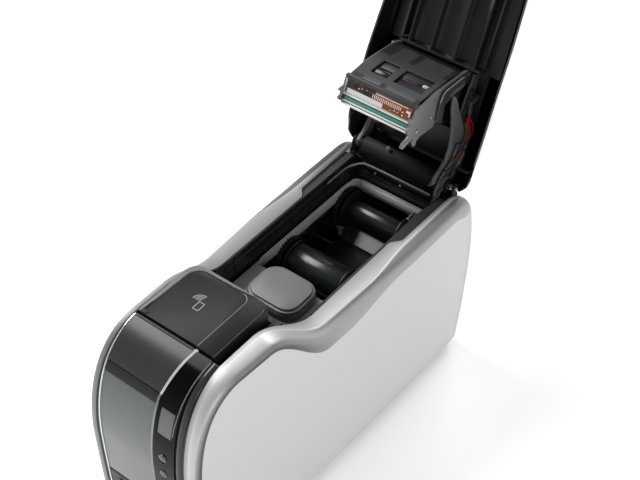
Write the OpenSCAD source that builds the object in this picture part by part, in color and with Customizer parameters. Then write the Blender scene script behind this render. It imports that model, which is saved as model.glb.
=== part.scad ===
// Desktop card printer with a hinged top cover, shown with the cover open.
// Front is -Y, the right side is +X, +Z is up, and the origin is on the
// surface the printer stands on, under the middle of the body.

/* [Body] */
// Width of the body across the flat side panels at the rear
body_w = 160; // [156:1:164]
// How much each side panel runs in towards the front
side_taper = 14; // [10:1:16]
// Width across the silver rims at the front
front_rim_w = 110; // [108:1:114]
// Height of the rim along the ribbon bay
rim_rear_z = 220; // [218:1:221]
// Height of the rim beside the card feeder
rim_front_z = 257; // [255:1:258]
// Wall thickness of the side shells
shell_t = 2.4; // [2:0.2:2.6]
// Height of the rubber feet
foot_h = 8; // [6:1:8]

/* [Cover] */
// Opening angle of the cover
cover_open = 114; // [90:1:116]
// Wall thickness of the cover shell
cover_t = 2.2; // [1.8:0.2:2.6]

/* [Media path] */
// Distance of the card path's centre line from the body's centre line
path_x = -7; // [-8:1:-6]
// Radius of the ribbon wound on the supply spool
supply_r = 19; // [14:1:19]
// Radius of the ribbon wound on the take-up spool
takeup_r = 12; // [10:1:18]
// Radius of the platen and feed rollers
roller_r = 8; // [7.5:0.1:8]
// Radius of the roller shafts
shaft_r = 3; // [2.6:0.1:3.2]
// Radial running clearance of shafts and pins
fit = 0.05; // [0.03:0.01:0.08]

/* [Details] */
// Number of ventilation slots in the rear panel
vent_count = 10; // [6:1:12]
// Number of fins on the print head's heat sink
fin_count = 9; // [6:1:10]

/* [Hidden] */

bz = foot_h;              // underside of the base tray
hinge_y = 212;            // cover hinge axis
hinge_z = 223;
plate_x = 57;             // inner faces of the two chassis plates
roll_z = 131;             // height of the driven roller axes
feed_y = -10;             // card path rollers from front to rear
trans_y = 112;
platen_y = 147;
supply_y = 80;            // ribbon spools
takeup_y = 176;
spool_z = 163;
mod_g = 1.25;             // gear module
teeth_s = 34;             // spool gears
teeth_d = 16;             // drive gears
gear_z = spool_z - mod_g*(teeth_s+teeth_d)/2 - 0.12;
motor_y = 60;
motor_z = 80;

// ---------- helpers ----------
function S(t) = let (u = max(0, min(1, t))) u*u*(3-2*u);
function lerp(a, b, t) = a + (b-a)*t;
// half width of the side panels at y
function hw(y) = body_w/2 - side_taper*pow(max(0, 150-y)/340, 1.5);
// 1 along the high front rim, 0 along the low rim beside the bay
function sc(y) = S((-10-y)/80);
function rim_z(y) = rim_rear_z + (rim_front_z-rim_rear_z)*sc(y);
function rim_x(y) = (1-sc(y))*(hw(y)-6-7.5*S((y-50)/70)) + sc(y)*front_rim_w/2;
// half width of the cover, which laps over the rims
function cover_x(y) = (1-sc(y))*(hw(y)-2.8) + sc(y)*front_rim_w/2;
function rim_in_rear(y) = y < 108 ? 54.4 : 54.4+8.2*S((y-108)/14)+max(0, y-122)*0.9/78;
function rim_in(y) = (1-sc(y))*rim_in_rear(y) + sc(y)*(front_rim_w/2-4.5);
function band(y) = 10 + 21*(1-sc(y)) - 13.5*S((y-15)/80);

// front curve: s from -1 (bottom) through 0 to 1 (top rear end)
B0 = [-192, 150]; B1 = [-190, 215]; B2 = [-168, 254]; B3 = [-130, rim_front_z];
function fc(s) = s < 0 ? [-192+4*s*s, 150+138*s]
  : pow(1-s,3)*B0 + 3*s*pow(1-s,2)*B1 + 3*s*s*(1-s)*B2 + pow(s,3)*B3;
function tang(s) = let (d = fc(min(1, s+0.005)) - fc(max(-1, s-0.005))) d/norm(d);
function fin_n(s) = let (t = tang(s)) [t[1], -t[0]];   // inward normal
function fo(s, d) = fc(s) + fin_n(s)*d;

// extrude a (y, z) outline along X
module xext(x0, x1) {
  translate([x0, 0, 0]) rotate([90, 0, 90]) linear_extrude(x1-x0) children();
}
// extrude an (x, z) outline along Y
module yext(y0, y1) {
  translate([0, y1, 0]) rotate([90, 0, 0]) linear_extrude(y1-y0) children();
}
// strip of the front curve between two depths
module strip2(s0, s1, d0, d1, n) {
  polygon(concat([for (i = [0:n]) fo(lerp(s0, s1, i/n), d0)],
                 [for (i = [n:-1:0]) fo(lerp(s0, s1, i/n), d1)]));
}
module xcyl(x0, x1, y, z, r) {
  translate([x0, y, z]) rotate([0, 90, 0]) cylinder(h = x1-x0, r = r, $fn = 48);
}
module box(x0, x1, y0, y1, z0, z1) {
  translate([x0, y0, z0]) cube([x1-x0, y1-y0, z1-z0]);
}
// closed skin between an outer and an inner grid of points
module skin(O, I) {
  n = len(O); m = len(O[0]); k = n*m;
  pts = concat([for (r = O) each r], [for (r = I) each r]);
  q = concat(
    [for (i = [0:n-2], j = [0:m-2]) [i*m+j, (i+1)*m+j, (i+1)*m+j+1, i*m+j+1]],
    [for (i = [0:n-2], j = [0:m-2]) [k+i*m+j, k+i*m+j+1, k+(i+1)*m+j+1, k+(i+1)*m+j]],
    [for (j = [0:m-2]) [j, j+1, k+j+1, k+j]],
    [for (j = [0:m-2]) [(n-1)*m+j+1, (n-1)*m+j, k+(n-1)*m+j, k+(n-1)*m+j+1]],
    [for (i = [0:n-2]) [(i+1)*m, i*m, k+i*m, k+(i+1)*m]],
    [for (i = [0:n-2]) [i*m+m-1, (i+1)*m+m-1, k+(i+1)*m+m-1, k+i*m+m-1]]);
  polyhedron(points = pts,
    faces = [for (f = q) each [[f[0], f[2], f[1]], [f[0], f[3], f[2]]]], convexity = 6);
}
// rounded rectangle
module rrect(x0, x1, y0, y1, r) {
  polygon([for (c = [[x1-r, y1-r, 0], [x0+r, y1-r, 90], [x0+r, y0+r, 180], [x1-r, y0+r, 270]],
    a = [0:15:90]) [c[0]+r*cos(c[2]+a), c[1]+r*sin(c[2]+a)]]);
}
// spur gear outline, tooth 0 centred on angle a0
module gear2(n, a0) {
  rp = mod_g*n/2; ra = rp+1.15; rf = rp-1.5;
  ta = 0.42/ra*57.3; tf = 1.25/rf*57.3; tp = 0.86/rp*57.3;
  polygon([for (k = [0:n-1]) let (c = a0+k*360/n)
    each [for (p = [[rf, c-tf], [rp, c-tp], [ra, c-ta], [ra, c+ta], [rp, c+tp], [rf, c+tf]])
      [p[0]*cos(p[1]), p[0]*sin(p[1])]]]);
}
// the cover and all it carries are drawn closed, then swung open
module opened() {
  translate([0, hinge_y, hinge_z]) rotate([-cover_open, 0, 0])
    translate([0, -hinge_y, -hinge_z]) children();
}

// ---------- side shells ----------
// outline stations: [y, z, inward y, inward z, half width, rim x, rim inner x, band width, bottom y]
ST = concat(
  [for (i = [0:4]) let (s = -1+i/5, p = fc(s), n = fin_n(s))
    [p[0], p[1], n[0], n[1], hw(p[0]), front_rim_w/2+4, front_rim_w/2-1, 10, -178+i*1.6]],
  [for (i = [0:13]) let (s = i/13, p = fc(s), n = fin_n(s))
    [p[0], p[1], n[0], n[1], hw(p[0]), front_rim_w/2+4*(1-s), front_rim_w/2-4.5+3.5*(1-s), 10, -170+40*s]],
  [for (y = concat([-118, -106, -96], [for (i = [0:17]) -88+i*4.5], [5, 30, 60, 90, 106, 110, 114, 118, 122, 140, 165, 188]))
    [y, rim_z(y), 0, -1, hw(y), rim_x(y), rim_in(y), band(y), y]],
  [for (i = [0:6]) let (t = i/6,
     p = pow(1-t,2)*[198, rim_rear_z] + 2*t*(1-t)*[219.5, rim_rear_z+0.5] + t*t*[223.5, rim_rear_z-26],
     b = [lerp(192, 213.5, t), rim_rear_z-lerp(17.5, 26, t)], u = (b-p)/norm(b-p))
    [p[0], p[1], u[0], u[1], hw(p[0]), hw(p[0])-13.5+9.3*t, lerp(63.6, 73, t), norm(b-p), 190+i*1.1]],
  [for (p = [[227.4, 170, 197.6], [229.5, 145, 198.2], [229, 111, 198.9], [226.8, 86, 199.4], [223.2, 52, 200],
     [218.8, 28, 200.5], [216, 12, 201]])
    [p[0], p[1], -1, 0, hw(p[0]), hw(p[0])-4.2, hw(p[0])-7, 10, p[2]]]);
// the left panel starts deeper beside the feeder, with a flatter band
STL = [for (i = [0:len(ST)-1]) let (q = ST[i], s = (i-5)/13)
  i < 5 ? [q[0], q[1], q[2], q[3], q[4], q[5], q[6], 10+16*S(i/3), [-178, -176.4, -172, -168, -165][i], S(i/3)]
  : i < 19 ? [q[0], q[1], q[2], q[3], q[4], q[5], q[6], 26, -163+33*s, 1]
  : q[0] < 0 ? [q[0], q[1], q[2], q[3], q[4], q[5], q[6], q[7]+16*sc(q[0]), q[8], sc(q[0])] : q];
function fl(q, b) = let (w = len(q) > 9 ? q[9] : 0) lerp(b[1], b[0], w);
// offsets over the rounded band: [fraction in from the rim, fraction out to the panel]
BP = [[1, 1], [0.72, 0.985], [0.48, 0.94], [0.28, 0.84], [0.13, 0.62], [0.04, 0.32], [0, 0]];
function srow(q) = concat(
  [[hw(q[8]), q[8], bz+2]],
  [for (b = BP) [q[5]+(q[4]-q[5])*fl(q, b), q[0]+q[2]*q[7]*b[0], max(bz+2, q[1]+q[3]*q[7]*b[0])]],
  [[q[6], q[0]+q[2]*0.2, q[1]+q[3]*0.2]]);
function srow_in(q) = concat(
  [[hw(q[8])-shell_t, q[8], bz+2]],
  [for (b = BP) [q[5]+(q[4]-q[5])*fl(q, b)-shell_t, q[0]+q[2]*(q[7]*b[0]+shell_t*(1-b[0])),
     max(bz+2, q[1]+q[3]*(q[7]*b[0]+shell_t*(1-b[0])))]],
  [[q[6], q[0]+q[2]*(shell_t+0.2), q[1]+q[3]*(shell_t+0.2)]]);
module side_shell(st) { skin([for (q = st) srow(q)], [for (q = st) srow_in(q)]); }
module right_side_shell() color([0.80, 0.81, 0.81]) side_shell(ST);
module left_side_shell() color([0.80, 0.81, 0.81]) mirror([1, 0, 0]) side_shell(STL);

// ---------- base ----------
PY = [for (i = [0:14]) -184+i*28.4];
module plan(o, y0, y1) {
  polygon(concat([for (y = PY) [hw(y)-o, max(y0, min(y1, y))]],
                 [for (i = [len(PY)-1:-1:0]) [-(hw(PY[i])-o), max(y0, min(y1, PY[i]))]]));
}
module base_tray() color([0.12, 0.12, 0.13]) {
  difference() {
    union() {
      translate([0, 0, bz]) linear_extrude(2) union() {
        plan(0.8, -176, 201);
        polygon([[-65, -176], [-62.5, -181], [-57, -186.4], [57, -186.4], [62.5, -181], [65, -176],
          [79, 200], [74, 210], [71.5, 216], [-71.5, 216], [-74, 210], [-79, 200]]);
      }
      translate([0, 0, bz+2]) linear_extrude(12) difference() {
        plan(shell_t+0.5, -174, 206); plan(shell_t+2.7, -171.8, 203.8); }
      for (x = [-48, 48], y = [-140, 170]) translate([x, y, bz+1]) cylinder(h = 8, r = 5, $fn = 40);
    }
    for (x = [-48, 48], y = [-140, 170]) translate([x, y, bz-1]) cylinder(h = 12, r = 1.7, $fn = 24);
  }
}
// four feet near the corners and a support foot in the middle
module rubber_feet() color([0.06, 0.06, 0.06])
  for (p = [[-54, -152], [54, -152], [-54, 184], [54, 184], [0, 0]])
    translate([p[0], p[1], 0]) cylinder(h = bz, r = 8, $fn = 48);

// ---------- rear ----------
module rear_panel() color([0.13, 0.13, 0.14]) difference() {
  union() {
    yext(213.6, 216.2) polygon([[-71.8, bz+2], [71.8, bz+2], [72.2, 60], [72.2, 176], [68.6, 206], [-68.6, 206], [-72.2, 176], [-72.2, 60]]);
    box(-66, -63.8, 208, 213.6, bz+14, 200);
    box(63.8, 66, 208, 213.6, bz+14, 200);
  }
  for (i = [0:vent_count-1]) translate([-45+i*90/(vent_count-1), 212, 120]) translate([-1.6, 0, 0]) cube([3.2, 8, 60]);
  box(-52.4, -23.6, 212, 218, 25.6, 48.4);
  box(11.6, 58.4, 212, 218, 25.6, 44.4);
}
module power_inlet() color([0.07, 0.07, 0.08]) difference() {
  union() { box(-52, -24, 196, 216.6, 26, 48); box(-54.5, -21.5, 216.2, 217.8, 23.5, 50.5); }
  box(-49, -27, 201, 219, 29.5, 44.5);
}
module data_ports() color([0.62, 0.63, 0.65]) difference() {
  union() { box(12, 56.4, 197, 217.2, 26, 44); box(9, 61, 212.2, 213.6, 23, 47); }
  box(15, 25, 201, 219, 29.5, 40.5);
  box(30, 46, 201, 219, 28.6, 41.6);
  box(49.5, 55.5, 201, 219, 29, 40);
}

// ---------- front ----------
module front_panel() color([0.10, 0.10, 0.11]) {
  difference() {
    xext(-48.6, 22) strip2(-1, -0.42, 1.4, 4.4, 12);
    box(-36, 12, -196, -180, 50, 86);
  }
}
function sx(y) = y > -130 ? 23 : y < -173 ? 14.7 : 14.7+8.3*pow((y+173)/43, 0.62);
module plan_cut(x0, dx0, x1, dx1) {
  ys = concat([-200, -173], [for (i = [1:9]) -173+i*43/9], [-120]);
  translate([0, 0, 5]) linear_extrude(260) polygon(concat(
    [for (y = ys) [x1 == undef ? sx(y)+dx1 : x1, y]],
    [for (i = [len(ys)-1:-1:0]) [x0 == undef ? sx(ys[i])+dx0 : x0, ys[i]]]));
}
module feeder_door() color([0.20, 0.21, 0.22]) difference() {
  union() {
    intersection() {
      xext(-48.2, 26) strip2(0.54, 0.972, 0.8, 3.2, 22);
      plan_cut(-48.2, 0, undef, -1.6);
    }
    intersection() {
      xext(-46, 19) polygon([fo(0.55, 3), fo(0.56, 6), fo(0.60, 6.4), fo(0.62, 3)]);
      plan_cut(-46, 0, undef, -4);
    }
    xcyl(-47.6, 18.6, -131.2, rim_front_z-3.0, 2.3);
  }
  xcyl(-49, 24, -131.2, rim_front_z-3.0, 1.2+fit);
}
module door_pin() color([0.7, 0.7, 0.72]) xcyl(-49.8, 22.9, -131.2, rim_front_z-3.0, 1.2);
module front_window() color([0.25, 0.27, 0.28]) {
  intersection() {
    xext(-48.6, 22) strip2(-0.41, 0.532, 1.6, 3.6, 24);
    plan_cut(-48.6, 0, undef, -1.2);
  }
}
module trim_strips() color([0.86, 0.87, 0.87]) {
  difference() {
    union() {
      intersection() { xext(8, 28) strip2(-0.41, 1, 0.5, 4.2, 32); plan_cut(undef, -1.2, undef, 1.2); }
      xext(-50.2, -48.6) strip2(-1, 1, 0.6, 4.2, 34);
    }
    xcyl(-49.8, 22.9, -131.2, rim_front_z-3.0, 1.2);
  }
}
// keeps the dark front bands inside the inner edges of the two rims
module rim_cut() translate([0, 0, 5]) linear_extrude(260) {
  e = concat([[53.6, -200], [53.6, -192]], [for (i = [0:10]) [50.25+3.35*(1-i/10), fc(i/10)[0]]]);
  polygon(concat(e, [for (i = [len(e)-1:-1:0]) [-e[i][0], e[i][1]]]));
}
module display_column() color([0.03, 0.03, 0.035]) difference() {
  union() {
    intersection() { xext(12, 41.2) strip2(-0.41, 0.985, 0.8, 3.8, 34); plan_cut(undef, 1.2, 41.2, 0); }
    xext(22, 41.2) strip2(-1, -0.415, 0.8, 3.8, 12);
    intersection() { xext(41.2, 53.8) strip2(-1, 0.985, 1.7, 4.2, 36); rim_cut(); }
  }
  // screen opening and key bores
  box(20, 36, -200, -170, 196, 222);
  for (z = [148, 170]) translate([28, -180, z]) rotate([90, 0, 0]) cylinder(h = 16, r = 5, $fn = 40);
  translate([28, -180, 120]) rotate([90, 0, 0]) cylinder(h = 16, r = 6.5, $fn = 40);
}
module display_screen() color([0.30, 0.33, 0.34]) {
  intersection() { xext(20, 36) strip2(0.25, 0.50, 1.4, 2.8, 10); box(20, 36, -200, -160, 196, 222); }
}
module key(y, z, r) translate([28, y, z]) rotate([-90, 0, 0]) {
  translate([0, 0, 0.4]) cylinder(h = 5, r = r-0.35, $fn = 40);
  translate([0, 0, 5.2]) cylinder(h = 1.6, r = r+1.2, $fn = 40);
}
module power_button() color([0.55, 0.56, 0.58]) key(-191.8, 120, 6.5);
module menu_key() color([0.2, 0.2, 0.21]) key(-191.8, 148, 5);
module select_key() color([0.2, 0.2, 0.21]) key(-190.9, 170, 5);

// ---------- card feeder ----------
module fcover_plan(i) {
  x0 = -49.8+i; x1 = 41.5-i; y1 = -52-i; y0 = -127.8+i; r0 = 14-i; r1 = 9-i;
  polygon(concat([[x0, y0], [x1, y0]],
    [for (a = [0:10:90]) [x1-r1+r1*cos(a), y1-r1+r1*sin(a)]],
    [for (a = [90:10:180]) [x0+r0+r0*cos(a), y1-r0+r0*sin(a)]]));
}
module feeder_cover() color([0.19, 0.20, 0.21]) {
  difference() {
    intersection() {
      yext(-127.8, -52) polygon([[-49.8, 236], [-49.8, 255], [-48.6, 256.4], [-46, 257], [20, 257.2],
        [22, 257], [37, 254.9], [38.6, 254.2], [39.6, 252.6], [41.5, 236]]);
      translate([0, 0, 230]) linear_extrude(30) fcover_plan(0);
    }
    intersection() {
      yext(-125.4, -54.4) polygon([[-47.2, 230], [-47.2, 254.2], [20, 254.4], [35, 252], [37.4, 250], [39, 230]]);
      translate([0, 0, 229]) linear_extrude(30) fcover_plan(2.4);
    }
  }
  // raised border along the left and rear edges
  intersection() {
    translate([0, 0, 256.4]) linear_extrude(1.5) difference() { fcover_plan(0.6); fcover_plan(4.4); }
    union() { box(-50, -40, -127.8, -52, 250, 260); box(-50, 12, -70, -52, 250, 260); }
  }
}
module card_hopper() color([0.10, 0.10, 0.11]) difference() {
  union() {
    box(-40, 26, -150, -49, roll_z+4, roll_z+6);
    box(path_x-31, path_x-29, -150, -58, roll_z+6, 232);
    box(path_x+29, path_x+31, -150, -58, roll_z+6, 232);
    box(path_x-29, path_x+29, -60, -58, roll_z+8.2, 232);
    box(path_x-29, path_x+29, -150, -148, roll_z+6, 172);
    translate([0, 0, 233]) linear_extrude(3) difference() {
      fcover_plan(0.8); translate([path_x-29, -124]) square([58, 64]); }
    for (x = [path_x-31, path_x+29]) box(x, x+2, -124, -58, 231, 234);
  }
  box(path_x-8, path_x+8, -151, -130, roll_z, 180);
  xcyl(-42, 30, -90, 200, 9);
}
module card_pusher() color([0.45, 0.46, 0.48]) {
  box(path_x-26, path_x+26, -142, -64, roll_z+6.4, roll_z+9.4);
  box(path_x-26, path_x-23, -136, -70, roll_z+9.4, roll_z+16);
  box(path_x+23, path_x+26, -136, -70, roll_z+9.4, roll_z+16);
}
module output_tray() color([0.12, 0.12, 0.13]) {
  box(-38, 16, -184.5, -70, 47.6, 49.6);
  box(-38, -36.2, -184.5, -70, 49.6, 84);
  box(14.2, 16, -184.5, -70, 49.6, 84);
  box(-36.2, 14.2, -72, -70, 49.6, 110);
  box(-34, -32, -166, -80, bz+2, 47.6);
  box(10, 12, -166, -80, bz+2, 47.6);
}

// ---------- chassis ----------
CY = [-46, -38, -30, -22, -14, -8, 0, 203];
module plate_prof() {
  difference() {
    polygon(concat([[203, bz+2], [-46, bz+2]], [for (y = CY) [y, rim_z(y)-3.2]]));
    for (c = [[feed_y, roll_z], [trans_y, roll_z], [platen_y, roll_z]])
      translate(c) circle(r = shaft_r+fit, $fn = 48);
    translate([feed_y, roll_z+16]) circle(r = 2+fit, $fn = 40);
    translate([20, 40]) square([70, 22]);
    translate([110, 44]) square([66, 40]);
    translate([-34, 50]) square([26, 50]);
  }
}
module right_chassis_plate() color([0.09, 0.09, 0.10]) {
  difference() {
    xext(plate_x, plate_x+3) plate_prof();
    xcyl(plate_x-1, plate_x+4, motor_y, motor_z, 2.5+fit);
  }
  // ledges under the cartridge's rail
  for (y = [[-10, 60], [100, 150]]) box(47.4, plate_x+1, y[0], y[1], 172.6, 175.5);
}
module left_chassis_plate() color([0.09, 0.09, 0.10]) {
  xext(-plate_x-3, -plate_x) plate_prof();
  for (y = [supply_y, takeup_y]) xcyl(-plate_x-0.5, -45, y, gear_z, 2.5);
  for (y = [[-10, 60], [100, 150]]) box(-plate_x-1, -50.8, y[0], y[1], 172.6, 175.5);
}
module bay_front_wall() color([0.09, 0.09, 0.10]) {
  difference() {
    union() {
      box(-plate_x-3, plate_x+3, -49, -46, bz+2, 231);
      box(-40, 26, -46.2, -26, 150, 153);
      box(12, 40, -46.2, -18, 153, 176);
      box(-53.4, -51, -171.7, -48, 217, 224);
    }
    box(path_x-29, path_x+29, -50, -44, roll_z+5, roll_z+12);
    box(-17, 17, -50, -44, 224.6, 230);
  }
  // dark band beside the left rim
  intersection() { xext(-53.8, -50.2) strip2(-1, 0.985, 1.7, 4.2, 36); rim_cut(); }
  // trough between the feeder cover and the right rim
  box(42.2, 49.8, -127, -49, 236, 239);
  box(42.2, 44.2, -127, -48, 150, 236);
}
module bay_rear_block() color([0.06, 0.06, 0.07]) {
  difference() {
    union() {
      box(-63.8, 63.8, 203, 213.6, 60, 212);
      difference() {
        union() { xcyl(-49, 49, hinge_y, hinge_z, 11.4); box(-49, 49, 203, 213.6, 211, 223); }
        box(-60, 60, 213.6, 240, 200, 240);
      }
    }
    for (x = [-61.4, -20]) box(x, x+40, 205.4, 214, 62.4, 209);
    box(21.4, 61.4, 205.4, 214, 62.4, 184);
    // slot for the arm of the cover
    box(44.6, 48.8, 202, 211.4, 186, 236);
  }
  for (m = [-1, 1]) difference() {
    union() {
      for (x = [[52, 54.8], [61.2, 63.8]]) {
        x0 = m > 0 ? x[0] : -x[1]; x1 = m > 0 ? x[1] : -x[0];
        xcyl(x0, x1, hinge_y, hinge_z, 6);
        xext(x0, x1) polygon([[204, 211], [213, 211], [215, 218], [212, 229], [206.4, 225]]);
      }
    }
    xcyl(-70, 70, hinge_y, hinge_z, 2.5);
  }
}
module hinge_pins() color([0.75, 0.75, 0.77]) {
  xcyl(51, 65, hinge_y, hinge_z, 2.5);
  xcyl(-65, -51, hinge_y, hinge_z, 2.5);
}
module roller_platform() color([0.17, 0.17, 0.18]) difference() {
  union() {
    box(-43, 29, 1, 103, roll_z+3.5, roll_z+6);
    box(-43, 29, 121, 137.5, roll_z+3.5, roll_z+6);
    box(-43, -40.6, 1, 137.5, 101.5, roll_z+3.6);
    box(26.6, 29, 1, 137.5, 101.5, roll_z+3.6);
    box(-43, 29, 20, 90, 101, 103.6);
    for (y = [22, 84]) box(-plate_x, plate_x, y, y+5, 99.4, 101.6);
  }
  xcyl(-60, 60, trans_y, roll_z, shaft_r+1.2);
  box(-13, -5, 126, 132, 130, 140);
}
// two dark cowls to the right of the card path
module bay_cowls() color([0.09, 0.09, 0.10]) {
  for (c = [[33, 0, 58, 152], [38, 94, 138, 140]]) difference() {
    box(c[0], plate_x, c[1], c[2], 102, c[3]);
    box(c[0]+2, plate_x-2, c[1]+2, c[2]-2, 101, c[3]-2);
    xcyl(30, 60, trans_y, roll_z, shaft_r+1.2);
  }
}
module card_guides() color([0.25, 0.26, 0.27]) {
  for (x = [path_x-29.6, path_x+27.6]) {
    box(x, x+2, 2, 102, roll_z+6, roll_z+8.6);
    box(x, x+2, -45.8, -20, roll_z+5.9, roll_z+8.6);
  }
  box(-40, 26, -46, -20, roll_z+4, roll_z+6);
}
module drive_motor() color([0.32, 0.33, 0.35]) {
  xcyl(23, 57, motor_y, motor_z, 19);
  box(54.6, 57, motor_y-26, motor_y+26, motor_z-8, motor_z+8);
}
module belt2(o) hull() {
  translate([feed_y, roll_z]) circle(r = 9+o, $fn = 48);
  translate([platen_y, roll_z]) circle(r = 9+o, $fn = 48);
  translate([motor_y, motor_z]) circle(r = 6+o, $fn = 48);
}
module drive_belt() color([0.05, 0.05, 0.05]) xext(62, 65.4) difference() { belt2(1.5); belt2(0.15); }
module main_board() color([0.10, 0.32, 0.20]) {
  box(-67.6, -66, -20, 190, 44, 196);
  for (y = [-10, 180], z = [52, 188]) xcyl(-66, -60, y, z, 3);
  box(-71.5, -67.6, 20, 50, 90, 120);
  box(-70.5, -67.6, 80, 108, 120, 148);
  box(-66, -61.5, 60, 84, 60, 110);
  box(-72, -67.6, 130, 165, 52, 66);
}
module chassis_screws() color([0.72, 0.72, 0.74])
  for (y = [-34, 192], z = [46, 190], m = [0, 1]) mirror([m, 0, 0])
    difference() {
      xcyl(plate_x+3, plate_x+5, y, z, 3.2);
      xcyl(plate_x+4, plate_x+6, y, z, 1.5);
    }

// ---------- rollers ----------
module platen_shaft() color([0.72, 0.73, 0.75]) {
  xcyl(-63, 67, platen_y, roll_z, shaft_r);
  difference() { xcyl(61.4, 66, platen_y, roll_z, 9); xcyl(61, 67, platen_y, roll_z, shaft_r-0.01); }
}
module platen_rubber() color([0.08, 0.08, 0.08]) difference() {
  xcyl(path_x-31, path_x+31, platen_y, roll_z, roller_r);
  xcyl(-60, 60, platen_y, roll_z, shaft_r);
}
module driven_roller(y) {
  xcyl(path_x-26, path_x+26, y, roll_z, roller_r);
  xcyl(-63, 67, y, roll_z, shaft_r);
  xcyl(61.4, 66, y, roll_z, 9);
}
module feed_roller() color([0.10, 0.10, 0.10]) driven_roller(feed_y);
module transport_roller() color([0.10, 0.10, 0.10]) driven_roller(trans_y);
module cleaning_roller() color([0.30, 0.45, 0.62]) {
  xcyl(path_x-26, path_x+26, feed_y, roll_z+16, 7.2);
  xcyl(-61, 61, feed_y, roll_z+16, 2);
}
module motor_pulley() color([0.70, 0.70, 0.72]) {
  xcyl(61.4, 66, motor_y, motor_z, 6);
  xcyl(57.4, 61.5, motor_y, motor_z, 2.5);
}

// ---------- cover, drawn closed ----------
// rows along Y: [y of the free edge, y of the top, z of the top, z of the free edge, half width]
function crow(y) = [y, y, 261.6-1.2*S((-10-y)/36), rim_z(y)+1.5-3.5*S((y-40)/80), cover_x(y)+0.6];
CR = concat([for (y = [-45, -41, -36, -30, -24, -18, -12, -6, 4, 20, 50, 80, 110, 140, 165, 185]) crow(y)],
  [[198, 199, 261.4, 221.5, 76.6], [205, 206.5, 260.6, 221.7, 74.8], [209.5, 211.5, 258, 223.6, 71.8],
   [212.8, 215, 252.5, 226.2, 68.8], [214.8, 216.8, 244.5, 228, 66.8], [216, 217.2, 237.5, 229, 65.4]]);
CX = [[1, 0], [0.965, 0.17], [0.925, 0.36], [0.885, 0.56], [0.845, 0.76], [0.80, 0.92], [0.74, 0.985],
  [0.60, 1.0], [0.42, 1.006], [0.26, 1.01], [0.13, 1.012]];
function notch(x, y) = y > -20 ? 0 : 9*(1-S((abs(x)-6)/12))*S((-20-y)/24);
function cpt(q, u, v, d, sgn) = let (x = sgn*max(0, q[4]*u-d*(1.1-v)*0.95), w = max(0, v),
    zz = q[3]+(q[2]-q[3])*v - d*S((v-0.3)/0.7), yy = lerp(q[0], q[1], v)-(q[0] > 190 ? d*v : 0))
  [x, yy+notch(x, yy), max(q[3], zz)];
function crow3(q, d) = concat([for (c = CX) cpt(q, c[0], c[1], d, 1)], [cpt(q, 0, 1.014, d, 1)],
  [for (i = [len(CX)-1:-1:0]) cpt(q, CX[i][0], CX[i][1], d, -1)]);
module cover_shell() color([0.05, 0.05, 0.055]) opened()
  skin([for (q = CR) crow3(q, 0)], [for (q = CR) crow3(q, cover_t)]);
module cover_liner() color([0.10, 0.10, 0.11]) opened() difference() {
  union() {
    box(-54, 54, -30, 196, 239, 241.4);
    translate([0, 0, 239]) linear_extrude(2.4) polygon(concat([for (y = [-30, -18, -6, 30, 96]) [(cover_x(y)+0.6)*0.885-3, y]],
      [for (y = [96, 30, -6, -18, -30]) [3-(cover_x(y)+0.6)*0.885, y]]));
    for (x = [-44, 44], y = [0, 60, 130]) translate([x, y, 241]) cylinder(h = 17.9, r = 3.5, $fn = 32);
    for (m = [-1, 1]) box(m > 0 ? 48 : -50, m > 0 ? 50 : -48, -34, 90, 230, 239.5);
    for (x = [-40, -14, 14, 38]) box(x-1, x+1, -30, 92, 230, 239);
    box(-50, 50, -34, -31.6, 230, 241.4);
    box(-48, 48, 92, 94.4, 226, 239);
    box(-48, 39, 158, 160.4, 228, 239);
    // lugs that carry the print head's trunnions
    for (x = [[-53.4, -50.2], [37.4, 40.6]]) {
      xext(x[0], x[1]) polygon([[94, 240], [98, 224], [106, 224], [112, 240]]);
      xcyl(x[0], x[1], 102, 226, 6);
    }
  }
  xcyl(-60, 60, 102, 226, 2.5+fit);
  box(-18, 18, -40, -22, 236, 243);
}
module hinge_arm() {
  difference() {
    union() {
      xcyl(55.4, 60.6, hinge_y, hinge_z, 5.6);
      xext(55.4, 60.6) polygon([[216, 226.6], [212, 233], [205, 238], [190, 241], [150, 241], [116, 238.6], [112, 233],
        [118, 230], [150, 231.5], [186, 230], [200, 225], [208.5, 218.8]]);
    }
    xcyl(50, 66, hinge_y, hinge_z, 2.5+fit);
  }
  box(50, 55.4, 140, 190, 236, 239);
}
module right_hinge_arm() color([0.22, 0.23, 0.24]) opened() hinge_arm();
module left_hinge_arm() color([0.22, 0.23, 0.24]) opened() mirror([1, 0, 0]) hinge_arm();
module head_cable() color([0.10, 0.10, 0.10]) opened() {
  box(41.5, 47.5, 150, 188, 230, 239);
  box(41.5, 47.5, 112, 151, 224, 230.5);
}
module cover_lock_slide() color([0.28, 0.29, 0.30]) opened() {
  box(-15, 15, -44.4, -35, 226.4, 228.6);
  box(-15, 15, -37.4, -35, 228.6, 250);
  box(-9, 9, -37.4, -31, 250, 256);
}

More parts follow.
